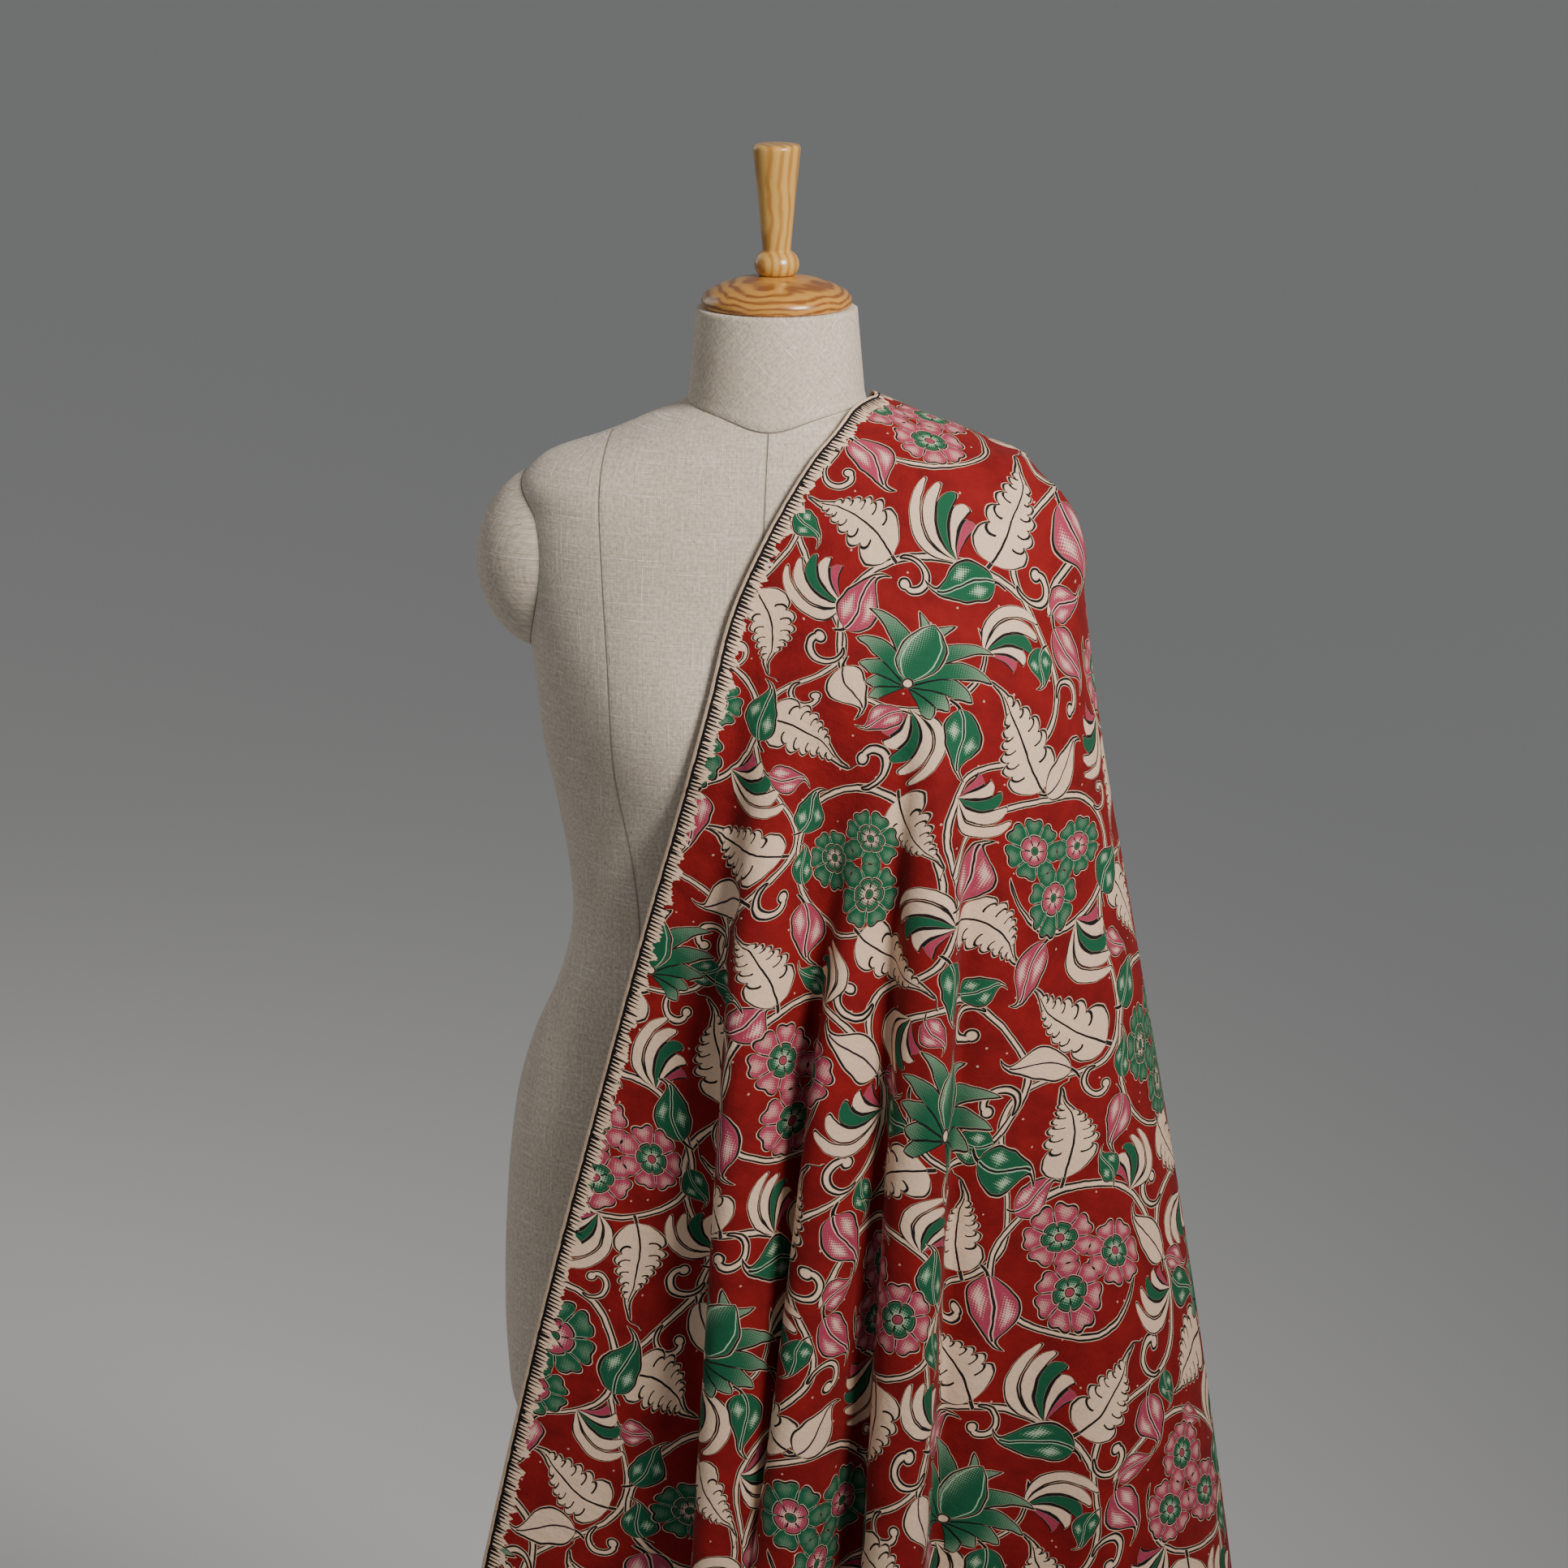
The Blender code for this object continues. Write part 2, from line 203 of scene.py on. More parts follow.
def noise(dimensions, place, scale, detail, rough=0.5, twist=0.0):
    # gives its value and its colour
    inputs = {"W" if dimensions == "1D" else "Vector": place, "Scale": scale, "Detail": detail,
              "Roughness": rough, "Distortion": twist}
    return addNode("ShaderNodeTexNoise", {"noise_dimensions": dimensions}, inputs).outputs


def rgba(colour):
    # a grey, a colour or the name of a dye, as four numbers
    if isinstance(colour, str):
        colour = dyes[colour]
    if isinstance(colour, (int, float)):
        colour = (colour, colour, colour)
    return (*colour, 1.0)


def blend(factor, a, b, mode="MIX"):
    a, b = [value if isSocket(value) else rgba(value) for value in (a, b)]
    made = addNode("ShaderNodeMix", {"data_type": "RGBA", "blend_type": mode}, {0: factor, 6: a, 7: b})
    return made.outputs[2]


def ramp(value, stops):
    made = addNode("ShaderNodeValToRGB", {}, {0: value})
    elements = made.color_ramp.elements
    while len(elements) < len(stops):
        elements.new(0.5)
    for element, (place, colour) in zip(elements, stops):
        element.position = place
        element.color = rgba(colour)
    return made.outputs[0]


def onPoints(tree, name):
    return addNode("ShaderNodeAttribute", {"attribute_name": name}, {}, tree).outputs["Fac"]


def onFlat(tree):
    return addNode("ShaderNodeUVMap", {"uv_map": "flat"}, {}, tree).outputs[0]


def joinShader(shader, colour, rough, height, relief, own):
    # colour, roughness and relief come from nodes, the shader's own values are typed in
    bump = addNode("ShaderNodeBump", {}, {"Strength": relief[0], "Distance": relief[1], "Height": height})
    for name, socket in (("Normal", bump.outputs[0]), ("Base Color", colour), ("Roughness", rough)):
        shader.id_data.links.new(socket, shader.inputs[name])
    for name, value in own.items():
        shader.inputs[name].default_value = value


# the dress form

form = {
    "bottom": 0.665,
    "bottomInset": 0.94,
    "skinTop": 1.4199,
    # the neck's cover goes on down inside the shoulders
    "neckFoot": 1.408,
    "neckBottom": 1.374,
    "neckTop": 1.4715,
    "neckTopRadius": 0.0545,
    "neckBaseRadius": 0.0600,
    "armCentre": (0.154, 0.002, 1.297),
    "armRadii": (0.0527, 0.0580, 0.0640),
    "bust": {"x": 0.078, "z": 1.205, "spreadX": 0.042, "spreadZ": 0.050, "height": 0.020},
    # height, half width, depth to the front, depth to the back, squareness
    "sections": [
        (1.4200, 0.0440, 0.0400, 0.0420, 2.0),
        (1.4080, 0.0620, 0.0540, 0.0560, 2.0),
        (1.3960, 0.0900, 0.0610, 0.0610, 2.1),
        (1.3830, 0.1200, 0.0680, 0.0660, 2.1),
        (1.3700, 0.1570, 0.0750, 0.0710, 2.2),
        (1.3580, 0.1710, 0.0810, 0.0760, 2.4),
        (1.3300, 0.1725, 0.0930, 0.0850, 2.5),
        (1.3000, 0.1720, 0.1010, 0.0920, 2.5),
        (1.2600, 0.1700, 0.1080, 0.0990, 2.4),
        (1.2200, 0.1655, 0.1120, 0.1010, 2.3),
        (1.1740, 0.1605, 0.1120, 0.0970, 2.2),
        (1.1280, 0.1512, 0.1040, 0.0900, 2.2),
        (1.0760, 0.1430, 0.0960, 0.0830, 2.2),
        (1.0520, 0.1417, 0.0930, 0.0810, 2.2),
        (0.9990, 0.1530, 0.0960, 0.0880, 2.2),
        (0.9630, 0.1690, 0.1010, 0.0990, 2.2),
        (0.9270, 0.1800, 0.1070, 0.1120, 2.2),
        (0.8790, 0.1873, 0.1120, 0.1240, 2.2),
        (0.8310, 0.1909, 0.1150, 0.1300, 2.2),
        (0.7820, 0.1927, 0.1150, 0.1290, 2.2),
        (0.7270, 0.1916, 0.1130, 0.1240, 2.2),
        (0.6900, 0.1874, 0.1080, 0.1180, 2.2),
        (0.6650, 0.1780, 0.1000, 0.1100, 2.2),
    ],
    # height, x of the princess seam on the front, and of the one on the back
    "princess": [
        (1.3900, 0.1120, 0.0980),
        (1.3600, 0.1130, 0.0960),
        (1.3000, 0.1090, 0.0900),
        (1.2300, 0.1030, 0.0840),
        (1.1740, 0.1000, 0.0780),
        (1.0520, 0.0860, 0.0660),
        (0.9630, 0.0960, 0.0740),
        (0.8310, 0.1080, 0.0820),
        (0.6650, 0.1060, 0.0820),
    ],
}


def torsoRadius(angle, z):
    half, front, back, power = np.moveaxis(tableAt(form["sections"], z), -1, 0)
    c = np.abs(np.cos(angle))
    s = np.sin(angle)
    depth = np.where(s < 0.0, front, back)
    radius = ((c / half) ** power + (np.abs(s) / depth) ** power) ** (-1.0 / power)
    bust = form["bust"]
    across = (radius * c - bust["x"]) / bust["spreadX"]
    up = (z - bust["z"]) / bust["spreadZ"]
    swell = bust["height"] * np.exp(-0.5 * (across * across + up * up)) * np.abs(s)
    return radius + np.where(s < 0.0, swell, 0.0)


def neckRadius(z):
    t = (z - form["neckFoot"]) / (form["neckTop"] - form["neckFoot"])
    return form["neckBaseRadius"] + (form["neckTopRadius"] - form["neckBaseRadius"]) * t


def roundTurns(count):
    # once round the form, from the middle of its back
    return np.linspace(0.0, 2.0 * math.pi, count + 1)[:-1] + 0.5 * math.pi


def torsoCover():
    shoulders = np.linspace(form["skinTop"], 1.33, 44)
    heights = np.concatenate([shoulders, np.linspace(1.327, form["bottom"], 150)])
    angle, z = np.meshgrid(roundTurns(240), heights)
    radius = torsoRadius(angle, z)
    x = radius * np.cos(angle)
    y = radius * np.sin(angle)
    # the bottom edge is turned under
    rows, columns = z.shape
    points = np.stack([x, y, z], axis=-1).reshape(-1, 3)
    faces = gridFaces(rows, columns, True)
    last = (rows - 1) * columns
    edge = points[last:].copy()
    inner = edge * np.array([form["bottomInset"], form["bottomInset"], 1.0])
    middle = np.array([[0.0, 0.0, form["bottom"]]])
    points = np.concatenate([points, inner, middle])
    for k in range(columns):
        n = (k + 1) % columns
        faces.append((last + n, last + k, last + columns + k, last + columns + n))
        faces.append((last + columns + n, last + columns + k, len(points) - 1))
    piece = pieceFromPoints("torsoCover", points, faces)
    # seam places, as signed distances in metres
    px, py, pz = points.T
    seams = tableAt(form["princess"], pz)
    side = np.where(py < 0.0, seams[:, 0], seams[:, 1])
    pointValues(piece, "princess", np.abs(px) - side)
    pointValues(piece, "middleSeam", px)
    pointValues(piece, "sideSeam", np.where(np.abs(px) > 0.1, py, 0.1))
    # flat pattern of the linen: arc length round, height up
    steps = np.hypot(np.diff(x, axis=1, append=x[:, :1]), np.diff(y, axis=1, append=y[:, :1]))
    arc = np.cumsum(steps, axis=1)
    arc = arc - arc[:, columns // 2:columns // 2 + 1]
    across = np.concatenate([arc.ravel(), arc[-1], [0.0]])
    flatMap(piece, across, points[:, 2])
    piece.data.shade_smooth()
    return piece


def neckCover():
    top = form["neckTop"]
    heights = np.concatenate([[top, top, top - 0.0008], np.linspace(top - 0.003, form["neckBottom"], 46)])
    angle, z = np.meshgrid(roundTurns(160), heights)
    radius = neckRadius(z)
    # the top is closed in under the wooden cap, with a soft edge
    radius[0] *= 0.6
    radius[1] -= 0.0012
    # a soft roll where the cover is sewn to the shoulders
    skin = torsoRadius(angle, np.clip(z, 0.7, form["skinTop"]))
    roll = {"height": 0.0008, "away": 0.002, "width": 0.003}
    radius = radius + roll["height"] * np.exp(-((radius - skin - roll["away"]) / roll["width"]) ** 2)
    points = np.stack([radius * np.cos(angle), radius * np.sin(angle), z], axis=-1).reshape(-1, 3)
    rows, columns = z.shape
    piece = pieceFromPoints("neckCover", points, gridFaces(rows, columns, True))
    pointValues(piece, "seat", (radius - skin).ravel())
    arc = radius * (angle - angle[0, columns // 2])
    # cut on the bias, at 45 degrees
    flatMap(piece, (arc + z) * 0.7071, (z - arc) * 0.7071)
    piece.data.shade_smooth()
    return piece


def armCover(name, side):
    # an upper arm's padded end; a sphere pulled to size, its inner half in the shoulder
    nothingSelected()
    bpy.ops.mesh.primitive_uv_sphere_add(segments=72, ring_count=48, radius=1.0,
                                         rotation=(0.0, math.radians(90.0), 0.0))
    piece = primitive(name)
    bpy.ops.transform.resize(value=form["armRadii"], center_override=(0.0, 0.0, 0.0))
    x, y, z = form["armCentre"]
    bpy.ops.transform.translate(value=(x * side, y, z))
    bpy.ops.mesh.select_all(action="DESELECT")
    bpy.ops.object.mode_set(mode="OBJECT")
    points = np.empty(len(piece.data.vertices) * 3, dtype=np.float32)
    piece.data.vertices.foreach_get("co", points)
    x, y, z = points.reshape(-1, 3).T
    pointValues(piece, "seat", np.hypot(x, y) - torsoRadius(np.arctan2(y, x), z))
    while piece.data.uv_layers:
        piece.data.uv_layers.remove(piece.data.uv_layers[0])
    flatMap(piece, y, z)
    piece.data.shade_smooth()
    return piece


torso = torsoCover()
neck = neckCover()
armLeft = armCover("armCoverLeft", 1.0)
armRight = armCover("armCoverRight", -1.0)
print("dress form covered")


# the turned wood and the stand

turnings = {
    # radius and height pairs, from the underside up
    "capDisc": [(0.0490, 1.4718), (0.0503, 1.4725), (0.0510, 1.4745), (0.0510, 1.4768), (0.0500, 1.4792),
                (0.0478, 1.4816), (0.0440, 1.4840), (0.0390, 1.4864), (0.0330, 1.4886), (0.0260, 1.4906),
                (0.0190, 1.4919), (0.0135, 1.4925), (0.0125, 1.4928), (0.0060, 1.4928)],
    "finialTurning": [
        (0.0118, 1.4933), (0.0126, 1.4938), (0.0142, 1.4960), (0.0151, 1.4985), (0.0153, 1.5005),
        (0.0149, 1.5030), (0.0137, 1.5057), (0.0120, 1.5078), (0.0104, 1.5090), (0.0097, 1.5096),
        (0.0096, 1.5102), (0.0098, 1.5120), (0.0101, 1.5160), (0.0106, 1.5220), (0.0113, 1.5300),
        (0.0122, 1.5400), (0.0133, 1.5510), (0.0144, 1.5610), (0.0153, 1.5690), (0.0159, 1.5745),
        (0.0161, 1.5775), (0.0160, 1.5790), (0.0155, 1.5801), (0.0145, 1.5808), (0.0110, 1.5813),
        (0.0050, 1.5815),
    ],
    "poleTube": [(0.0155, 0.0303), (0.0160, 0.0310), (0.0160, 0.3000), (0.0160, 0.6440), (0.0160, 0.6647)],
    "footDisc": [(0.1860, 0.0000), (0.1890, 0.0014), (0.1900, 0.0040), (0.1900, 0.0095), (0.1885, 0.0140),
                 (0.1850, 0.0170), (0.1790, 0.0184), (0.1500, 0.0212), (0.1200, 0.0240), (0.0800, 0.0268),
                 (0.0400, 0.0292), (0.0280, 0.0297), (0.0200, 0.0300), (0.0100, 0.0300)],
}


def turnedPiece(name, sides):
    # a filled ring pulled up and resized step by step, as on a lathe
    profile = turnings[name]
    nothingSelected()
    bpy.ops.mesh.primitive_circle_add(vertices=sides, radius=profile[0][0], fill_type="NGON",
                                      location=(0.0, 0.0, profile[0][1]))
    piece = primitive(name)
    for (r, z), (nextR, nextZ) in zip(profile, profile[1:]):
        bpy.ops.mesh.extrude_region_move(TRANSFORM_OT_translate={"value": (0.0, 0.0, nextZ - z)})
        size = nextR / r
        bpy.ops.transform.resize(value=(size, size, 1.0), center_override=(0.0, 0.0, nextZ))
    bpy.ops.mesh.select_all(action="SELECT")
    bpy.ops.mesh.normals_make_consistent(inside=False)
    bpy.ops.object.mode_set(mode="OBJECT")
    bpy.ops.object.shade_smooth_by_angle(angle=math.radians(38.0))
    return piece


cap = turnedPiece("capDisc", 96)
finial = turnedPiece("finialTurning", 64)
pole = turnedPiece("poleTube", 48)
foot = turnedPiece("footDisc", 128)
print("wood turned, stand made")


# the draped cloth

cloth = {
    "top": 1.412,
    "tip": 0.068,             # x of the one point at the top
    "rowSpread": 1.35,        # over 1, so rows lie closer on the shoulder
    "coarse": 0.34,           # share of the columns in the sheet that is unrolled
    "thickness": 0.0009,
    "clearance": 0.0060,      # middle of the sheet to the torso
    "onArm": 0.0039,          # the same on the arm cap
    "knots": (0.00, 0.20, 0.40, 0.53, 0.66, 0.83, 1.00),
    # in mm: height, then x and y of the section's seven points from the front selvedge to the back one
    "sections": [
        (1412, 66, -4, 67, -3, 67, -2, 68, 0, 67, 2, 67, 3, 66, 4),
        (1381, 34, -60, 85, -58, 128, -40, 148, 0, 128, 40, 90, 58, 46, 62),
        (1336, 5, -90, 80, -90, 165, -52, 198, 0, 170, 52, 95, 84, 24, 86),
        (1288, -18, -108, 75, -112, 180, -64, 208, 0, 180, 66, 90, 96, 10, 98),
        (1227, -34, -120, 78, -128, 185, -80, 216, 0, 185, 80, 90, 108, -4, 107),
        (1171, -49, -121, 78, -130, 188, -90, 224, 0, 190, 88, 90, 114, -14, 110),
        (1049, -84, -116, 74, -126, 200, -98, 246, 0, 205, 98, 85, 120, -34, 115),
        (930, -116, -116, 66, -124, 216, -102, 268, 0, 220, 108, 80, 134, -54, 130),
        (802, -149, -122, 58, -124, 232, -106, 290, 0, 236, 120, 74, 148, -76, 142),
        (602, -195, -124, 44, -126, 252, -112, 320, 0, 258, 126, 66, 150, -108, 142),
        (400, -240, -124, 30, -126, 268, -116, 346, 0, 276, 130, 58, 148, -138, 140),
        (200, -284, -124, 16, -126, 280, -118, 366, 0, 290, 132, 50, 146, -168, 138),
    ],
    "hem": [(0.00, 0.460), (0.14, 0.420), (0.28, 0.360), (0.42, 0.260), (0.53, 0.180),
            (0.64, 0.230), (0.78, 0.330), (0.90, 0.430), (1.00, 0.490)],
    "foldHigh": 0.930,
    "foldLow": 0.650,
    # x, half width, reach outwards, lean to the left and bulge, each at the two heights, start and growth
    "frontFolds": [
        ((0.004, -0.006), (0.034, 0.036), (0.043, 0.056), (0.016, 0.020), (0.008, 0.012), 1.275, 0.27),
        ((0.062, 0.036), (0.033, 0.034), (0.043, 0.060), (0.016, 0.018), (0.008, 0.012), 1.230, 0.28),
        ((0.109, 0.097), (0.027, 0.028), (0.040, 0.051), (-0.001, 0.001), (0.013, 0.016), 1.265, 0.20),
        ((0.192, 0.190), (0.050, 0.060), (-0.012, -0.011), (0.0, 0.0), (0.0, 0.0), 1.200, 0.20),
    ],
    "backFolds": [
        ((0.232, 0.250), (0.030, 0.034), (0.026, 0.050), (0.0, 0.0), (0.004, 0.008), 1.200, 0.34),
        ((0.166, 0.176), (0.032, 0.036), (0.040, 0.066), (0.0, 0.0), (0.005, 0.009), 1.240, 0.36),
        ((0.098, 0.098), (0.033, 0.038), (0.046, 0.072), (0.004, 0.006), (0.005, 0.009), 1.270, 0.38),
        ((0.024, 0.010), (0.034, 0.040), (0.038, 0.062), (-0.004, -0.006), (0.004, 0.008), 1.220, 0.36),
    ],
    "columns": [(0.115, 16), (0.350, 102), (0.55, 27), (0.92, 104), (1.00, 8)],
    "rows": 180,
}


# step in metres by which a slope is measured
nudge = 0.001


def armDistance(p):
    d = (p - np.array(form["armCentre"])) / np.array(form["armRadii"])
    length = np.sqrt((d * d).sum(axis=-1))
    slope = np.sqrt(((d / np.array(form["armRadii"])) ** 2).sum(axis=-1))
    return (length - 1.0) * length / np.maximum(slope, 1e-6)


def torsoDistance(p):
    def level(x, y, z):
        return np.hypot(x, y) - torsoRadius(np.arctan2(y, x), z)

    x, y, z = np.moveaxis(p, -1, 0)
    gx = (level(x + nudge, y, z) - level(x - nudge, y, z)) / (2 * nudge)
    gy = (level(x, y + nudge, z) - level(x, y - nudge, z)) / (2 * nudge)
    gz = (level(x, y, np.minimum(z + nudge, form["skinTop"])) - level(x, y, z - nudge)) / (2 * nudge)
    near = level(x, y, z) / np.sqrt(gx * gx + gy * gy + gz * gz)
    return np.where(z > form["sections"][0][0], np.hypot(x, y) - neckRadius(z), near)


def pushedClear(p, distance, clearance):
    # points that lie too close are moved straight away from the shape
    for _ in range(4):
        short = clearance - distance(p)
        if float(short.max()) <= 0.00005:
            break
        slopes = []
        for k in range(3):
            move = np.zeros(3)
            move[k] = nudge
            slopes.append((distance(p + move) - distance(p - move)) / (2 * nudge))
        way = np.stack(slopes, axis=-1)
        way = way / np.maximum(np.linalg.norm(way, axis=-1, keepdims=True), 1e-9)
        p = p + way * np.maximum(short, 0.0)[..., None]
    return p


def foldShape(folds, x, z):
    side = np.zeros_like(x)
    out = np.zeros_like(x)
    drop = np.clip((cloth["foldHigh"] - z) / (cloth["foldHigh"] - cloth["foldLow"]), -0.8, 1.5)
    for place, half, reach, lean, bulge, start, growth in folds:
        grow = smoothStep((start - z) / growth)
        t = (x - (place[0] + (place[1] - place[0]) * drop)) / (half[0] + (half[1] - half[0]) * drop)
        inside = np.abs(t) < 1.0
        swell = np.where(inside, 0.5 + 0.5 * np.cos(math.pi * t), 0.0)
        out += grow * (reach[0] + (reach[1] - reach[0]) * drop) * swell
        over = (bulge[0] + (bulge[1] - bulge[0]) * drop) * np.sin(math.pi * np.clip(t, -1, 1))
        side += grow * swell * (over - (lean[0] + (lean[1] - lean[0]) * drop))
    return side, out


def clothPoints(us, ts):
    # us runs from selvedge to selvedge, ts from the shoulder to the hem
    u, t = np.meshgrid(us, ts)
    hem = tableAt(cloth["hem"], u)[..., 0]
    z = cloth["top"] + (hem - cloth["top"]) * t
    row = tableAt(np.array(cloth["sections"]) / 1000.0, z)
    knots = np.array(cloth["knots"])
    values = row.reshape(*z.shape, len(knots), 2)
    slopes = np.gradient(values, knots, axis=-2)
    k, step, f = rowBelow(knots, u)

    def take(array, index):
        return np.take_along_axis(array, index[..., None, None], axis=-2)[..., 0, :]

    xy = smoothBetween(take(values, k), take(values, k + 1), take(slopes, k), take(slopes, k + 1), step, f)
    x, y = xy[..., 0], xy[..., 1]
    front = u < knots[3]
    side, out = foldShape(cloth["frontFolds"], x, z)
    sideBack, outBack = foldShape(cloth["backFolds"], x, z)
    x = x + np.where(front, side, sideBack)
    y = y + np.where(front, -out, outBack)
    points = np.stack([x, y, z], axis=-1)
    high = z > 1.15
    points[high] = pushedClear(points[high], armDistance, cloth["onArm"])
    return pushedClear(points, torsoDistance, cloth["clearance"])


def clothColumns(scale):
    columns = [0.0]
    for end, count in cloth["columns"]:
        start = columns[-1]
        count = max(2, round(count * scale))
        columns += [start + (end - start) * (k + 1) / count for k in range(count)]
    return np.array(columns)


def sheetFaces(rows, wide):
    faces = [(0, 1 + k, 2 + k) for k in range(wide - 1)]
    for r in range(rows - 1):
        for k in range(wide - 1):
            a = 1 + r * wide + k
            faces.append((a + 1, a, a + wide, a + wide + 1))
    return faces


def sheetOf(name, fineness, rows):
    # columns, rows and points of the sheet, and the sheet itself, closed at the top in one point
    us = clothColumns(fineness)
    ts = (np.arange(1, rows + 1) / rows) ** cloth["rowSpread"]
    p = clothPoints(us, ts)
    points = np.concatenate([[[cloth["tip"], 0.0, cloth["top"] + 0.001]], p.reshape(-1, 3)])
    return us, ts, p, pieceFromPoints(name, points, sheetFaces(len(ts), len(us)))


def clothFlatPlan():
    # unrolls a coarser sheet, so that the print lies on it as it did on the flat cloth
    us, ts, p, piece = sheetOf("unrolled", cloth["coarse"], 60)
    wide = len(us)
    pick(piece)
    piece.data.uv_layers.new(name="flat")
    bpy.ops.object.mode_set(mode="EDIT")
    bpy.ops.mesh.select_all(action="SELECT")
    bpy.ops.uv.unwrap(method="CONFORMAL", margin=0.0)
    bpy.ops.object.mode_set(mode="OBJECT")
    uv = np.empty(len(piece.data.loops) * 2, dtype=np.float32)
    piece.data.uv_layers["flat"].data.foreach_get("uv", uv)
    flat = np.zeros((len(piece.data.vertices), 2))
    flat[cornersOf(piece)] = uv.reshape(-1, 2)
    # to metres, by the lengths down the sheet
    grid = flat[1:].reshape(len(ts), wide, 2)

    def lengths(a):
        return np.linalg.norm(np.diff(a, axis=0), axis=-1)

    grid = grid * np.median(lengths(p)[8:, : wide // 2] / np.maximum(lengths(grid)[8:, : wide // 2], 1e-9))
    # the front selvedge runs down the plan
    down = grid[-6, 0] - grid[10, 0]
    turn = math.atan2(down[0], down[1])
    c, s = math.cos(turn), math.sin(turn)
    grid = np.stack([grid[..., 0] * c - grid[..., 1] * s, grid[..., 0] * s + grid[..., 1] * c], axis=-1)
    grid = grid - grid[0, 0]
    if np.mean(grid[30, : wide // 2, 0]) < 0:
        grid[..., 0] *= -1.0
    ratio = lengths(grid)[8:] / np.maximum(lengths(p)[8:], 1e-9)
    print("flat plan, down stretch", np.percentile(ratio, (2, 25, 50, 75, 98)).round(2))
    bpy.data.objects.remove(piece, do_unlink=True)
    return us, ts, grid


def spreadPlan(us, ts, grid, fineUs, fineTs):
    # the same plan on the finer sheet
    def finer(rows, old, new):
        return np.array([np.interp(new, old, row) for row in rows])

    planes = [finer(finer(plane, us, fineUs).T, ts, fineTs).T for plane in np.moveaxis(grid, -1, 0)]
    return np.stack(planes, axis=-1)


def drapedSheet():
    us, ts, p, piece = sheetOf("kalamkariSheet", 1.0, cloth["rows"])

    def fromTip(values):
        return np.concatenate([[0.0], values.ravel()])

    plan = spreadPlan(*clothFlatPlan(), us, ts)
    flatMap(piece, fromTip(plan[..., 0]), fromTip(plan[..., 1]))
    # distance in from the selvedge, and along it, for the border
    steps = np.linalg.norm(np.diff(p, axis=1), axis=-1)
    fromFront = np.concatenate([np.zeros((len(ts), 1)), np.cumsum(steps, axis=1)], axis=1)
    fromBack = fromFront[:, -1:] - fromFront
    inward = np.minimum(fromFront, fromBack)
    edgeRun = np.linalg.norm(np.diff(p[:, 0], axis=0, prepend=p[:1, 0]), axis=-1).cumsum()
    # the selvedge hangs about 17 degrees off the upright, so the rows meet it aslant
    pointValues(piece, "selvedge", fromTip(inward * 0.953))
    pointValues(piece, "edgeRun", fromTip(edgeRun[:, None] - inward * 0.30))
    piece.data.shade_smooth()
    pick(piece)
    wall = piece.modifiers.new("thickness", "SOLIDIFY")
    wall.thickness = cloth["thickness"]
    wall.offset = 0.0
    bpy.ops.object.modifier_apply(modifier=wall.name)
    return piece


sheet = drapedSheet()
print("cloth draped,", len(sheet.data.polygons), "faces")


# the finishes

linenLook = {
    "colour": (0.640, 0.545, 0.440),
    "light": (0.900, 0.830, 0.740),
    "dark": (0.330, 0.275, 0.215),
    # colour of the painted shade in the seam grooves and where the neck and arm covers meet the torso
    "shadedSeam": (0.300, 0.245, 0.190),
    "roughness": 0.86,
    # how much thicker threads, straw specks and the painted shade in the seams show
    "slubs": 0.52,
    "specks": 0.50,
    "seams": 0.80,
    "seamDepth": -2.2,
    "relief": (0.75, 0.0006),
    "own": {"Sheen Weight": 0.12, "Sheen Roughness": 0.5, "Specular IOR Level": 0.25},
}


def threads(flat, acrossScale, alongScale, seed):
    # thick and thin places that run along the yarns
    place = moved(flat, (seed, seed * 0.7, 0.0), size=(acrossScale, alongScale, 0.0))
    return noise("2D", place, 1.0, 3.0, 0.62)[0]


def yarnOf(flat, loose, tight, seed, seedDown):
    # weft and warp together
    weft = threads(flat, loose, tight, seed)
    warp = threads(flat, tight, loose, seedDown)
    return timesPlus(weft, 0.5, times(warp, 0.5))


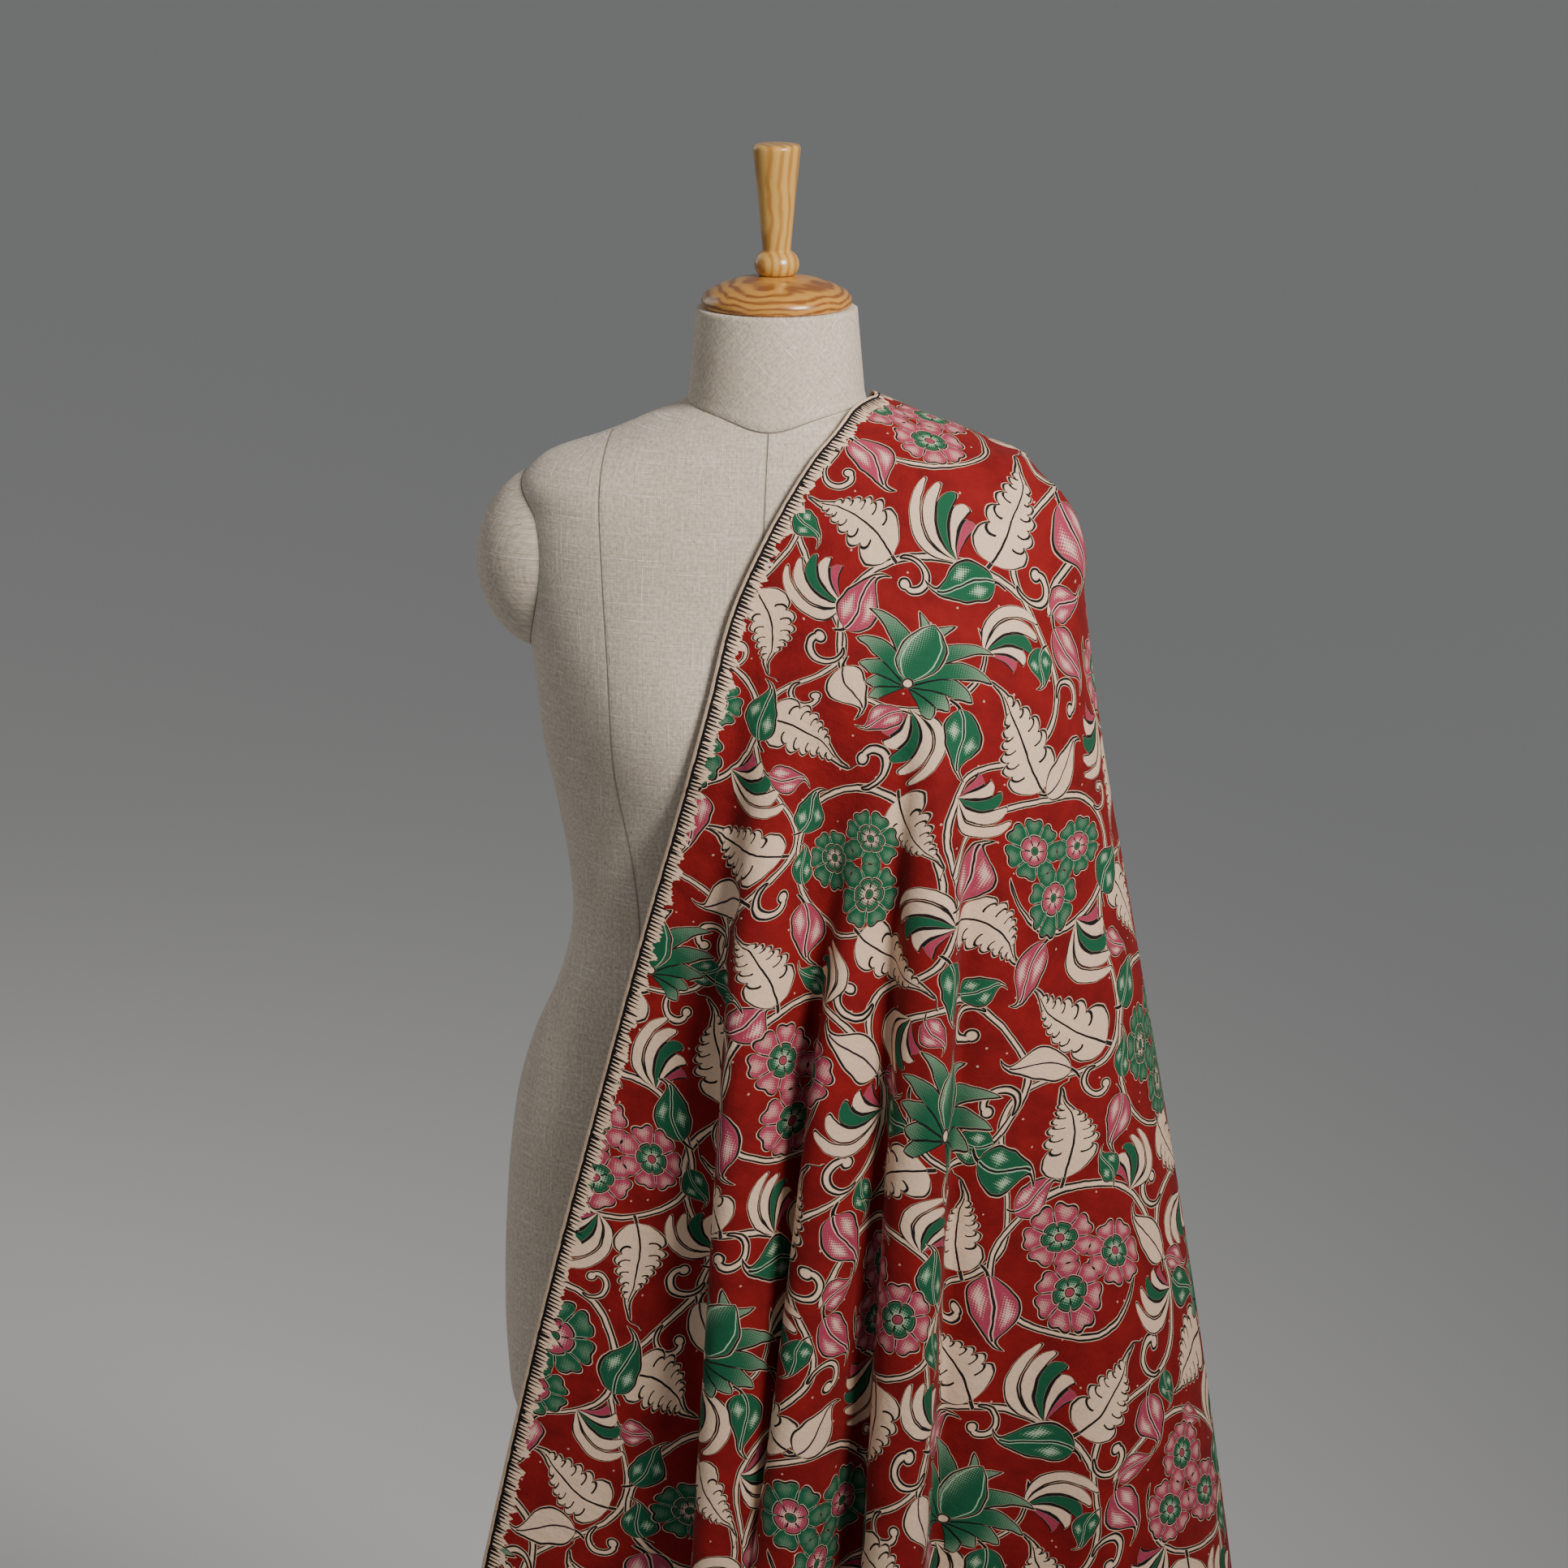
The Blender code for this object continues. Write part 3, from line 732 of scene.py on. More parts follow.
def linenFinish(name, seamNames):
    material, tree, shader = newMaterial(name)
    flat = onFlat(tree)
    yarn = yarnOf(flat, 34.0, 1500.0, 3.1, 9.7)
    across = ramp(threads(flat, 20.0, 640.0, 21.3), [(0.60, 0), (0.67, 1)])
    down = ramp(threads(flat, 640.0, 17.0, 35.9), [(0.63, 0), (0.70, 1)])
    thin, thick = [tuple(share * v for v in linenLook["colour"]) for share in (0.74, 1.14)]
    base = ramp(yarn, [(0.30, thin), (0.50, linenLook["colour"]), (0.70, thick)])
    slub = greatest(across, down)
    base = blend(times(slub, linenLook["slubs"]), base, linenLook["light"])
    # dark specks of straw in the yarn
    cells = {"Vector": moved(flat, size=(330.0, 210.0, 0.0)), "Scale": 1.0}
    speck = addNode("ShaderNodeTexVoronoi", {"voronoi_dimensions": "2D"}, cells)
    rare = parts(speck.outputs["Color"], "Color")[0]
    speck = times(isUnder(speck.outputs["Distance"], 0.20), isOver(rare, 0.93))
    base = blend(times(speck, linenLook["specks"]), base, linenLook["dark"])
    # handling has greyed it unevenly
    mottled = ramp(noise("2D", flat, 420.0, 2.0)[0], [(0.35, 0.84), (0.65, 1.08)])
    base = blend(1.0, base, mottled, "MULTIPLY")
    soil = ramp(noise("2D", flat, 9.0, 3.0)[0], [(0.3, (0.93, 0.92, 0.90)), (0.7, 1.03)])
    base = blend(1.0, base, soil, "MULTIPLY")
    height = timesPlus(slub, 0.35, yarn)
    # painted shade: each seam, and the join of the neck and arm covers to the torso, is darkened as if shade
    # lay in its groove; the groove is also pressed in as relief
    for shadedSeam in seamNames:
        away = absolute(onPoints(tree, shadedSeam))
        groove = ramp(times(away, 250.0), [(0.0, 1), (0.08, 1), (0.20, 0.15), (0.7, 0)])
        base = blend(times(groove, linenLook["seams"]), base, linenLook["shadedSeam"])
        height = timesPlus(groove, linenLook["seamDepth"], height)
    rough = timesPlus(yarn, 0.12, linenLook["roughness"])
    joinShader(shader, base, rough, height, linenLook["relief"], linenLook["own"])
    return material


woods = {
    # tones, stretch of the grain, rings to a metre and the way they run, and where the tree's heart lay
    "honeyWood": {"light": (0.620, 0.350, 0.085), "dark": (0.430, 0.200, 0.038),
                  "grain": (300.0, 300.0, 12.0), "rings": 46.0, "axis": "Z",
                  "heart": (0.041, 0.023, 0.0), "stretch": (1.0, 1.0, 0.2)},
    "capWood": {"light": (0.560, 0.265, 0.052), "dark": (0.250, 0.085, 0.016), "grain": (16.0, 240.0, 240.0),
                "rings": 66.0, "axis": "X", "heart": (0.0, -0.028, 0.05), "stretch": (0.35, 1.0, 1.0)},
}


def woodFinish(name):
    wood = woods[name]
    material, tree, shader = newMaterial(name)
    place = addNode("ShaderNodeTexCoord", {}, {}, tree).outputs["Object"]
    grainPlace = moved(place, size=wood["grain"])
    grain = noise("3D", grainPlace, 1.0, 5.0, 0.6, 0.6)[0]
    bent = arrows("MULTIPLY_ADD", noise("3D", place, 22.0, 2.0)[1], (0.016, 0.016, 0.016), place)
    year = addNode("ShaderNodeTexWave", {"wave_type": "RINGS", "rings_direction": wood["axis"]},
                   {"Vector": moved(bent, wood["heart"], size=wood["stretch"]), "Scale": wood["rings"],
                    "Distortion": 2.2, "Detail": 2.0, "Detail Scale": 1.4}).outputs[1]
    tone = timesPlus(year, 0.45, times(grain, 0.55))
    middle = tuple(0.6 * light + 0.4 * dark for light, dark in zip(wood["light"], wood["dark"]))
    colour = ramp(tone, [(0.30, wood["dark"]), (0.46, middle), (0.64, wood["light"])])
    pore = ramp(noise("3D", grainPlace, 4.2, 2.0)[0], [(0.66, 0), (0.74, 1)])
    poreTone = tuple(share * v for share, v in zip((0.45, 0.38, 0.3), wood["dark"]))
    colour = blend(times(pore, 0.35), colour, poreTone)
    joinShader(shader, colour, timesPlus(grain, 0.16, 0.22), grain, (0.12, 0.0004),
               {"Coat Weight": 0.40, "Coat Roughness": 0.14})
    return material


def paintedMetal(name):
    material, tree, shader = newMaterial(name)
    place = addNode("ShaderNodeTexCoord", {}, {}, tree).outputs["Object"]
    skin = noise("3D", place, 420.0, 3.0)[0]
    dust = noise("3D", place, 9.0, 5.0, 0.65)[0]
    greys = [(0.35, (0.022, 0.022, 0.023)), (0.62, (0.034, 0.033, 0.032)), (0.80, (0.075, 0.070, 0.064))]
    worn = ramp(dust, greys)
    joinShader(shader, worn, timesPlus(dust, 0.30, 0.28), skin, (0.25, 0.0003), {})
    return material


# the kalamkari print, drawn in cm on the cloth's flat plan

dyes = {
    "darkRed": (0.165, 0.0042, 0.0048),
    "red": (0.215, 0.0060, 0.0065),
    "lightRed": (0.250, 0.0080, 0.0078),
    "thinRed": (0.62, 0.34, 0.27),
    "cream": (0.800, 0.570, 0.405),
    "green": (0.0080, 0.100, 0.046),
    "paleGreen": (0.42, 0.55, 0.38),
    "pink": (0.380, 0.046, 0.090),
    "palePink": (0.80, 0.52, 0.44),
    "black": (0.008, 0.006, 0.007),
}

# one repeat of the design, in cm: across the cloth and along it
repeat = {"across": 26.0, "along": 41.0, "sway": 1.9, "bends": 3, "vines": (12.8, -0.2), "stem": 0.225}

# the main parts: place in cm, turn in degrees, length, width (minus turns it over), kind
sprigs = {
    "scrolls": [
        (6.2, 4.2, 205, 4.9, 4.3, 0), (19.4, 9.8, 10, 5.0, -4.5, 0), (6.6, 17.9, 185, 4.7, 4.6, 0),
        (19.2, 23.4, 30, 5.0, -4.3, 0), (6.2, 31.6, 215, 4.8, 4.4, 0), (19.8, 36.9, 15, 4.7, -4.4, 0),
    ],
    "clusters": [
        (6.2, 4.3, 30, 4.1, 4.1, 0), (6.8, 18.0, 80, 3.8, 3.8, 2), (19.2, 23.4, 50, 4.2, 4.2, 1),
        (19.8, 36.9, 10, 4.0, 4.0, 0),
    ],
    "lotuses": [(19.4, 6.9, 90, 5.8, 5.8, 0), (6.2, 28.8, 80, 5.6, 5.6, 0)],
}
# radius of a scroll over one turn, as a share of its size
scrollPath = [(0.0, 1.40), (0.1, 1.20), (0.25, 1.06), (0.5, 1.0), (0.75, 0.92), (1.0, 0.70)]

# what grows from the stems: the most there are, length, lean from the stem in degrees, the middle and
# radius of the disc that each keeps to itself, the least room worth taking, and its kinds
growth = {
    "scallopLeaves": {"most": 12, "size": (5.6, 6.7), "lean": (25, 85), "middle": 0.50, "reach": 0.58,
                      "least": 3.9, "kinds": (0,)},
    "fans": {"most": 12, "size": (3.3, 3.9), "lean": (35, 95), "middle": 0.45, "reach": 0.76,
             "least": 1.2, "kinds": (0,)},
    "leaves": {"most": 19, "size": (4.0, 4.8), "lean": (25, 85), "middle": 0.52, "reach": 0.60,
               "least": 1.8, "kinds": (0, 1, 2)},
    "curls": {"most": 14, "size": (0.85, 1.1), "lean": (0, 1), "middle": 0.0, "reach": 1.42,
              "least": 0.105, "kinds": (0,)},
    "smallLeaves": {"most": 14, "size": (2.9, 4.2), "lean": (20, 90), "middle": 0.52, "reach": 0.60,
                    "least": 0.9, "kinds": (0, 1)},
}
# cells to a cm, how full a part or a stem makes its cells, how close discs may come, how far a dye
# counts as near and how much each kind counts
growing = {"seed": 11, "tries": 1500, "cells": 6, "onPart": 3.0, "onStem": 0.6, "stemHalf": 0.3,
           "overlap": 0.93, "near": 6.0, "counts": (1.0, 1.0, 2.2)}


def wrapped(distance, period):
    return (distance + period / 2) % period - period / 2


def onward(x, y, way, far):
    return x + far * np.cos(way), y + far * np.sin(way)


def turnedInto(shape, *place):
    # a shape of unit size, sized, turned and set down, once for each place
    x, y, turn, length, width = [np.asarray(value)[..., None] for value in place]
    px, py = shape[0] * length, shape[1] * width
    c, s = np.cos(turn), np.sin(turn)
    return x + px * c - py * s, y + px * s + py * c


def stemPoints():
    # points along scrolls and vines with the way the stem runs there
    found = []
    turn = np.linspace(0.0, 0.94, 50)
    radius = np.interp(turn, *np.array(scrollPath).T)
    a = (turn * 2.0 - 1.0) * math.pi
    for x, y, degrees, length, width, kind in sprigs["scrolls"]:
        curl = (radius * np.cos(a), radius * np.sin(a))
        px, py = turnedInto(curl, x, y, math.radians(degrees), length, width)
        found.append(np.stack([px, py, np.arctan2(np.gradient(py), np.gradient(px))], 1))
    py = np.linspace(0.0, repeat["along"], 67, endpoint=False)
    bend = repeat["bends"] * 2.0 * math.pi / repeat["along"]
    for start in repeat["vines"]:
        px = start + repeat["sway"] * np.sin(bend * py)
        found.append(np.stack([px, py, np.arctan2(1.0, repeat["sway"] * bend * np.cos(bend * py))], 1))
    return np.concatenate(found)


def sprigShape(sort, fine):
    # points all over one sprig of unit size
    a, b = [v.ravel() for v in np.meshgrid(np.linspace(0.0, 1.0, fine), np.linspace(-1.0, 1.0, fine))]
    if sort == "fans":
        radius = (0.15 + 0.85 * a) * (0.80 - 0.30 * b)
        angle = b * 0.96 + 0.95 * radius ** 2 - 0.22
        return radius * np.cos(angle), radius * np.sin(angle)
    if sort == "curls":
        return 1.3 * a * np.cos(math.pi * b), 1.3 * a * np.sin(math.pi * b)
    along = 0.10 + 0.86 * a
    return along, b * 0.29 * np.sin(math.pi * (along - 0.05) / 0.93) ** 0.75


def grownSprigs():
    # each sprig takes the freest of many places tried along the stems
    draw = np.random.default_rng(growing["seed"])
    wide, high, cells, tries = repeat["across"], repeat["along"], growing["cells"], growing["tries"]
    stems = stemPoints()
    cx, cy = np.meshgrid(*[(np.arange(int(side * cells)) + 0.5) / cells for side in (wide, high)])
    filled = np.zeros(cx.shape)

    def gap(px, py, x, y):
        return np.hypot(wrapped(px - x, wide), wrapped(py - y, high))

    def cellsOf(fine, *place):
        px, py = turnedInto(sprigShape(sort, fine), *place)
        return (py * cells).astype(int) % filled.shape[0], (px * cells).astype(int) % filled.shape[1]

    for x, y, way in stems:
        filled[gap(cx, cy, x, y) < growing["stemHalf"]] = growing["onStem"]
    for sort, middle, reach in (("clusters", 0.0, 0.98), ("lotuses", 0.45, 0.52)):
        for x, y, degrees, length, width, kind in sprigs[sort]:
            x, y = onward(x, y, math.radians(degrees), middle * length)
            filled[gap(cx, cy, x, y) < reach * length] = growing["onPart"]
    for sort, habit in growth.items():
        sprigs[sort] = []
        discs = []
        for number in range(habit["most"]):
            x, y, way = stems[draw.integers(len(stems), size=tries)].T
            side, flip = draw.choice((-1, 1), (2, tries))
            back = draw.choice((0.0, math.pi), tries)
            size = draw.uniform(*habit["size"], tries)
            turn = way + back + side * np.radians(draw.uniform(*habit["lean"], tries))
            if sort == "curls":
                # they touch the stem from beside it and curl away
                out = way + side * math.pi / 2
                x, y = onward(x, y, out, size)
                turn = out + math.pi + 2.0 * flip
            score = size ** 2 * (1.0 - filled[cellsOf(8, x, y, turn, size, size * flip)].mean(1))
            mx, my = onward(x, y, turn, habit["middle"] * size)
            for ox, oy, reach in discs:
                score[gap(mx, my, ox, oy) < growing["overlap"] * (reach + habit["reach"] * size)] = -1.0
            best = int(np.argmax(score))
            if score[best] < habit["least"]:
                break
            discs.append((mx[best], my[best], habit["reach"] * size[best]))
            x, y, turn, length, width = [float(v[best]) for v in (x, y, turn, size, size * flip)]
            filled[cellsOf(60, x, y, turn, length, width)] = growing["onPart"]
            # the dye that is least used nearby
            used = [sum(math.exp(-(gap(x, y, o[0], o[1]) / growing["near"]) ** 2) * growing["counts"][kind]
                        for o in sprigs[sort] if o[5] == kind) for kind in habit["kinds"]]
            kind = habit["kinds"][int(np.argmin(used))]
            sprigs[sort].append((x % wide, y % high, math.degrees(turn), length, width, kind))
        print(sort, len(sprigs[sort]), "in one repeat")


grownSprigs()


def drawnCurve(value, points, sharp=()):
    # a hand-drawn line over 0 to 1, with corners where asked
    made = addNode("ShaderNodeFloatCurve", {}, {1: value})
    mapping = made.mapping
    mapping.use_clip = False
    mapping.extend = "HORIZONTAL"
    line = mapping.curves[0].points
    while len(line) < len(points):
        line.new(0.5, 0.5)
    for point, (x, y) in zip(line, points):
        point.location = (x, y)
        point.handle_type = "VECTOR" if sharp == "all" or x in sharp else "AUTO_CLAMPED"
    mapping.update()
    return made.outputs[0]


def sprigPlaces(plan, sort, middle, reach):
    # the local coordinates of whichever sprig of this sort is nearby
    wide, high = repeat["across"], repeat["along"]
    home = arrows("WRAP", plan, (wide, high, 0.0), (0.0, 0.0, 0.0))
    gathered = None
    for x, y, degrees, length, width, kind in sprigs[sort]:
        turn = math.radians(degrees)
        cx, cy = onward(x, y, turn, middle * length)
        far = reach * max(length, abs(width))
        near = home
        if gathered is None or min(cx, cy, wide - cx, high - cy) < far:
            # the first one, and each that lies over the edge of the repeat, is wrapped about itself
            near = arrows("WRAP", plan, (x + wide / 2, y + high / 2, 0.0), (x - wide / 2, y - high / 2, 0.0))
        local = moved(near, (x, y, -0.01 * kind), turn, (length, width, 1.0), "TEXTURE")
        if gathered is None:
            gathered = local
            continue
        inside = isUnder(arrows("DISTANCE", local, (middle, 0.0, 0.0)), reach)
        inputs = {0: inside, 4: gathered, 5: local}
        gathered = addNode("ShaderNodeMix", {"data_type": "VECTOR"}, inputs).outputs[1]
    x, y, kind = parts(gathered)
    return x, y, times(kind, 100.0)


def laid(below, edge, shade, ring, outline):
    # outline, pale line outside it and the dye inside, over what is below
    middle, soft = 0.5, 0.003
    inks = parts(ramp(timesPlus(edge, 1.0, middle), [
        (0.0, 0), (middle - ring - soft, 0), (middle - ring, (1, 0, 0)), (middle - soft, (1, 0, 0)),
        (middle, (1, 1, 0)), (middle + outline, (1, 1, 0)), (middle + outline + 0.008, (1, 0, 1)),
        (1.0, (1, 0, 1))]), "Color")
    inked = blend(inks[2], "cream", shade)
    inked = blend(inks[1], inked, "black")
    return blend(inks[0], below, inked)


def laidLeaves(plan, below, dots, sort):
    x, y, kind = sprigPlaces(plan, sort, 0.52, 0.60)
    bend = drawnCurve(x, [(0.0, 0.10), (0.12, 0.0), (0.35, -0.045), (0.60, 0.02), (0.80, 0.07), (0.92, 0.02),
                          (1.0, -0.09)])
    wide = drawnCurve(x, [(0.0, -0.06), (0.015, 0.022), (0.12, 0.020), (0.155, 0.10), (0.22, 0.185),
                          (0.34, 0.245), (0.48, 0.255), (0.62, 0.205), (0.74, 0.115), (0.85, 0.045),
                          (0.97, 0.018), (1.0, -0.05)])
    # one half is fullest near the stalk, the other near the tip
    off = minus(y, bend)
    half = signOf(off)
    skew = drawnCurve(x, [(0.12, 0.0), (0.26, 0.040), (0.45, 0.0), (0.64, -0.040), (0.84, 0.0)])
    wide = timesPlus(half, skew, wide)
    away = absolute(off)
    edge = minus(wide, away)
    isPink, isCream = isOver(kind, 0.5), isOver(kind, 1.5)
    # dye, with a pale dotted spot in each half, larger where it is pink
    heart = least(edge, away)
    spotAt = timesPlus(half, -0.09, 0.45)
    fall = timesPlus(isPink, -0.34, 0.60)
    heart = minus(heart, times(apart(x, spotAt), fall))
    light = ramp(timesPlus(dots, 0.045, heart), [(0.050, 0), (0.115, 1)])
    pale = blend(isPink, "paleGreen", "palePink")
    shade = blend(light, blend(isPink, "green", "pink"), pale)
    shade = blend(isCream, shade, "cream")
    # rib: dark line with pale sides
    inLeaf = isOver(wide, 0.045)
    bands = [(0.0, (0, 1, 0)), (0.010, (0, 1, 0)), (0.014, (1, 0, 0)), (0.022, (1, 0, 0)), (0.028, 0)]
    rib = ramp(away, bands)
    ribs = parts(rib, "Color")
    shade = blend(times(ribs[0], inLeaf), shade, pale)
    shade = blend(times(ribs[1], inLeaf), shade, "black")
    shade = blend(inLeaf, "cream", shade)   # the stalk
    return laid(below, edge, shade, 0.010, 0.024)


def laidScallops(plan, below):
    x, y, kind = sprigPlaces(plan, "scallopLeaves", 0.50, 0.58)
    bend = drawnCurve(x, [(0.0, -0.08), (0.15, -0.02), (0.40, 0.03), (0.65, 0.02), (0.82, -0.03),
                          (0.93, -0.02), (1.0, 0.07)])
    off = minus(y, bend)
    # the lobes of the two halves don't face each other
    at = timesPlus(signOf(off), times(x, 0.045), x)
    notches = (0.335, 0.455, 0.548, 0.624, 0.684, 0.735)
    side = [(0.0, -0.06), (0.01, 0.015), (0.08, 0.015), (0.087, 0.070), (0.10, 0.125), (0.13, 0.183),
            (0.17, 0.225), (0.22, 0.252), (0.27, 0.250), (0.31, 0.222), (0.335, 0.180), (0.355, 0.225),
            (0.395, 0.245), (0.43, 0.220), (0.455, 0.165), (0.47, 0.200), (0.50, 0.213), (0.53, 0.185),
            (0.548, 0.132), (0.56, 0.162), (0.585, 0.170), (0.61, 0.145), (0.624, 0.100), (0.635, 0.122),
            (0.66, 0.125), (0.684, 0.072), (0.70, 0.086), (0.735, 0.052), (0.79, 0.040), (0.86, 0.022),
            (0.97, 0.011), (1.0, -0.04)]
    wide = drawnCurve(at, side, (0.01, 0.08, *notches))
    away = absolute(off)
    edge = minus(wide, away)
    # a short curved vein runs in from each notch
    slant = timesPlus(times(away, edge), 4.0, at)
    steps = [(notch, float(number)) for number, notch in enumerate(notches)]
    lobe = drawnCurve(slant, [(0.27, -0.5), *steps, (0.76, 5.5)], "all")
    vein = pingPong(lobe, 0.5)
    outer = isUnder(edge, times(wide, 0.66))
    vein = times(isUnder(vein, 0.060), outer)
    inLeaf = isOver(wide, 0.03)
    rib = isUnder(away, timesPlus(x, -0.006, 0.0115))
    shade = blend(times(greatest(vein, rib), inLeaf), "cream", "black")
    return laid(below, edge, shade, 0.007, 0.015)


def laidScrolls(plan, below):
    x, y, kind = sprigPlaces(plan, "scrolls", 0.0, 1.42)
    turn = timesPlus(arcTan(y, x), 0.5 / math.pi, 0.5)
    r = lengthOf(x, y)
    path = drawnCurve(turn, scrollPath)
    wide = drawnCurve(turn, [(0.0, -0.05), (0.01, 0.048), (0.4, 0.044), (0.8, 0.036), (0.90, 0.026),
                             (0.97, 0.01), (1.0, -0.05)])
    return laid(below, minus(wide, apart(r, path)), "cream", 0.007, 0.019)


def laidVines(plan, below):
    across, along, none = parts(plan)
    low = -0.25 * repeat["across"]
    x = wrap(across, low + repeat["across"], low)
    swing = sine(times(along, repeat["bends"] * 2.0 * math.pi / repeat["along"]))
    first, second = [minus(x, timesPlus(swing, repeat["sway"], start)) for start in repeat["vines"]]
    near = least(absolute(first), absolute(second))
    edge = times(minus(repeat["stem"], near), 0.2)
    return laid(below, edge, "cream", 0.007, 0.019)


def laidClusters(plan, below, dots):
    # three flowers together, each of seven notched petals round six small ones
    x, y, kind = sprigPlaces(plan, "clusters", 0.0, 1.06)
    angle = arcTan(y, x)
    r = lengthOf(x, y)
    third = wrap(angle, math.pi / 3, -math.pi / 3)
    fx = timesPlus(r, cosine(third), -0.52)
    fy = times(r, sine(third))
    fr = lengthOf(fx, fy)
    fa = arcTan(fy, fx)
    seven, six = [absolute(cosine(times(fa, petals / 2))) for petals in (7, 6)]
    rim = drawnCurve(seven, [(0.0, 0.330), (0.06, 0.385), (0.20, 0.440), (0.45, 0.480), (0.75, 0.492),
                             (0.93, 0.480), (1.0, 0.462)])
    edge = minus(rim, fr)
    innerRim = drawnCurve(six, [(0.0, 0.165), (0.10, 0.205), (0.40, 0.238), (1.0, 0.245)])
    inner = minus(innerRim, fr)
    # colours by kind: pink round green, green round pink, all green
    isOne, isTwo = isOver(kind, 0.5), isOver(kind, 1.5)
    outerDye = blend(isOne, "pink", "green")
    outerPale = blend(isOne, "palePink", "paleGreen")
    innerDye = blend(isOne, "green", "pink")
    innerDye = blend(isTwo, innerDye, "green")
    spot = minus(seven, times(apart(fr, 0.385), 4.0))
    tip = ramp(timesPlus(dots, 0.25, spot), [(0.50, 0), (0.92, 0.9)])
    tip = times(tip, timesPlus(isOne, -0.38, 0.62))
    shade = blend(tip, outerDye, outerPale)
    # lines between the petals
    gap = times(seven, fr)
    shade = blend(isUnder(gap, 0.060), shade, outerPale)
    shade = blend(isUnder(gap, 0.040), shade, "black")
    innerPale = ramp(timesPlus(dots, 0.05, inner), [(0.09, 0), (0.15, 0.8)])
    innerShade = blend(innerPale, innerDye, blend(isOne, "paleGreen", "palePink"))
    innerShade = blend(isUnder(times(six, fr), 0.030), innerShade, "black")
    shade = laid(shade, inner, innerShade, 0.008, 0.018)
    shade = laid(shade, minus(0.070, fr), outerDye, 0.010, 0.014)
    return laid(below, edge, shade, 0.011, 0.024)


def laidLotuses(plan, below, dots):
    x, y, kind = sprigPlaces(plan, "lotuses", 0.42, 0.76)
    side = absolute(y)
    r = lengthOf(x, y)
    # narrow sepals flare out from the foot, the outer ones shorter and turned back
    step = math.radians(27.0)
    angle = timesPlus(times(r, r), -0.62, arcTan(side, x))
    angle = plus(angle, step * 0.50)
    number = nearest(divided(angle, step))
    fold = timesPlus(number, -step, angle)
    size = drawnCurve(times(number, 0.2), [(0.0, 0.90), (0.2, 0.98), (0.4, 0.86), (0.6, 0.66), (0.8, 0.48),
                                           (1.0, 0.44)], "all")
    px = divided(times(r, cosine(fold)), size)
    py = absolute(times(r, sine(fold)))
    wide = drawnCurve(px, [(0.0, 0.0), (0.1, 0.045), (0.35, 0.105), (0.60, 0.115), (0.78, 0.075),
                           (0.92, 0.026), (1.0, -0.05)])
    edge = minus(least(wide, minus(5.45, number)), py)
    tip = ramp(timesPlus(dots, 0.12, px), [(0.55, 0), (1.0, 0.50)])
    shade = blend(tip, "green", "paleGreen")
    flank = isUnder(minus(times(r, 0.235), py), 0.010)
    shade = blend(flank, shade, "black")
    below = laid(below, edge, shade, 0.007, 0.016)
    # the egg-shaped bud and the knob at the foot
    wide = drawnCurve(x, [(0.05, -0.05), (0.09, 0.05), (0.18, 0.155), (0.34, 0.232), (0.50, 0.225),
                          (0.64, 0.150), (0.74, 0.065), (0.80, -0.03)])
    edge = minus(wide, side)
    # pale dots gather to one side of the bud and thin lines run along it
    glow = timesPlus(y, 1.4, times(x, 0.35))
    tip = ramp(timesPlus(dots, 0.16, glow), [(0.26, 0), (0.52, 0.75)])
    shade = blend(tip, "green", "paleGreen")
    along = apart(times(wide, 0.72), side)
    shade = blend(isUnder(along, 0.006), shade, "paleGreen")
    below = laid(below, edge, shade, 0.008, 0.016)
    foot = minus(0.062, awayFrom((0.045, 0.0, 0.0), x, y))
    return laid(below, foot, "cream", 0.001, 0.015)


def laidFans(plan, below):
    # fingers of an acanthus, close together and curling over, shorter one after the other
    x, y, kind = sprigPlaces(plan, "fans", 0.45, 0.76)
    r = lengthOf(x, y)
    step = math.radians(24.0)
    angle = plus(timesPlus(times(r, r), -0.95, arcTan(y, x)), 0.22)
    fold = wrap(angle, step / 2, -step / 2)
    number = nearest(divided(angle, step))
    px = divided(r, timesPlus(number, -0.13, 0.80))
    py = times(r, fold)
    wide = drawnCurve(px, [(0.0, 0.016), (0.3, 0.070), (0.6, 0.115), (0.80, 0.150),
                           (0.93, 0.125), (1.0, -0.06)])
    edge = minus(least(wide, minus(2.45, absolute(number))), absolute(py))
    edge = least(edge, minus(times(r, 0.209), absolute(py)))
    edge = times(edge, greatest(1.0, divided(0.36, r)))
    shade = blend(isAbout(number, 0.0, 0.4), "cream", "green")
    shade = blend(isOver(number, 1.5), shade, "pink")
    return laid(below, edge, shade, 0.009, 0.022)


def laidCurls(plan, below):
    # small tendrils that curl over to a round end
    x, y, kind = sprigPlaces(plan, "curls", 0.0, 1.38)
    turn = timesPlus(arcTan(y, x), 0.5 / math.pi, 0.5)
    r = lengthOf(x, y)
    path = drawnCurve(turn, [(0.18, 1.0), (0.45, 0.98), (0.62, 0.86), (0.80, 0.64)])
    wide = drawnCurve(turn, [(0.14, -0.3), (0.17, 0.10), (0.30, 0.17), (0.55, 0.24), (0.72, 0.24),
                             (0.80, 0.12), (0.84, -0.3)])
    edge = minus(wide, apart(r, path))
    knob = minus(0.36, awayFrom((-0.20, 0.50, 0.0), x, y))
    edge = times(greatest(edge, knob), 0.25)
    return laid(below, edge, "cream", 0.009, 0.026)


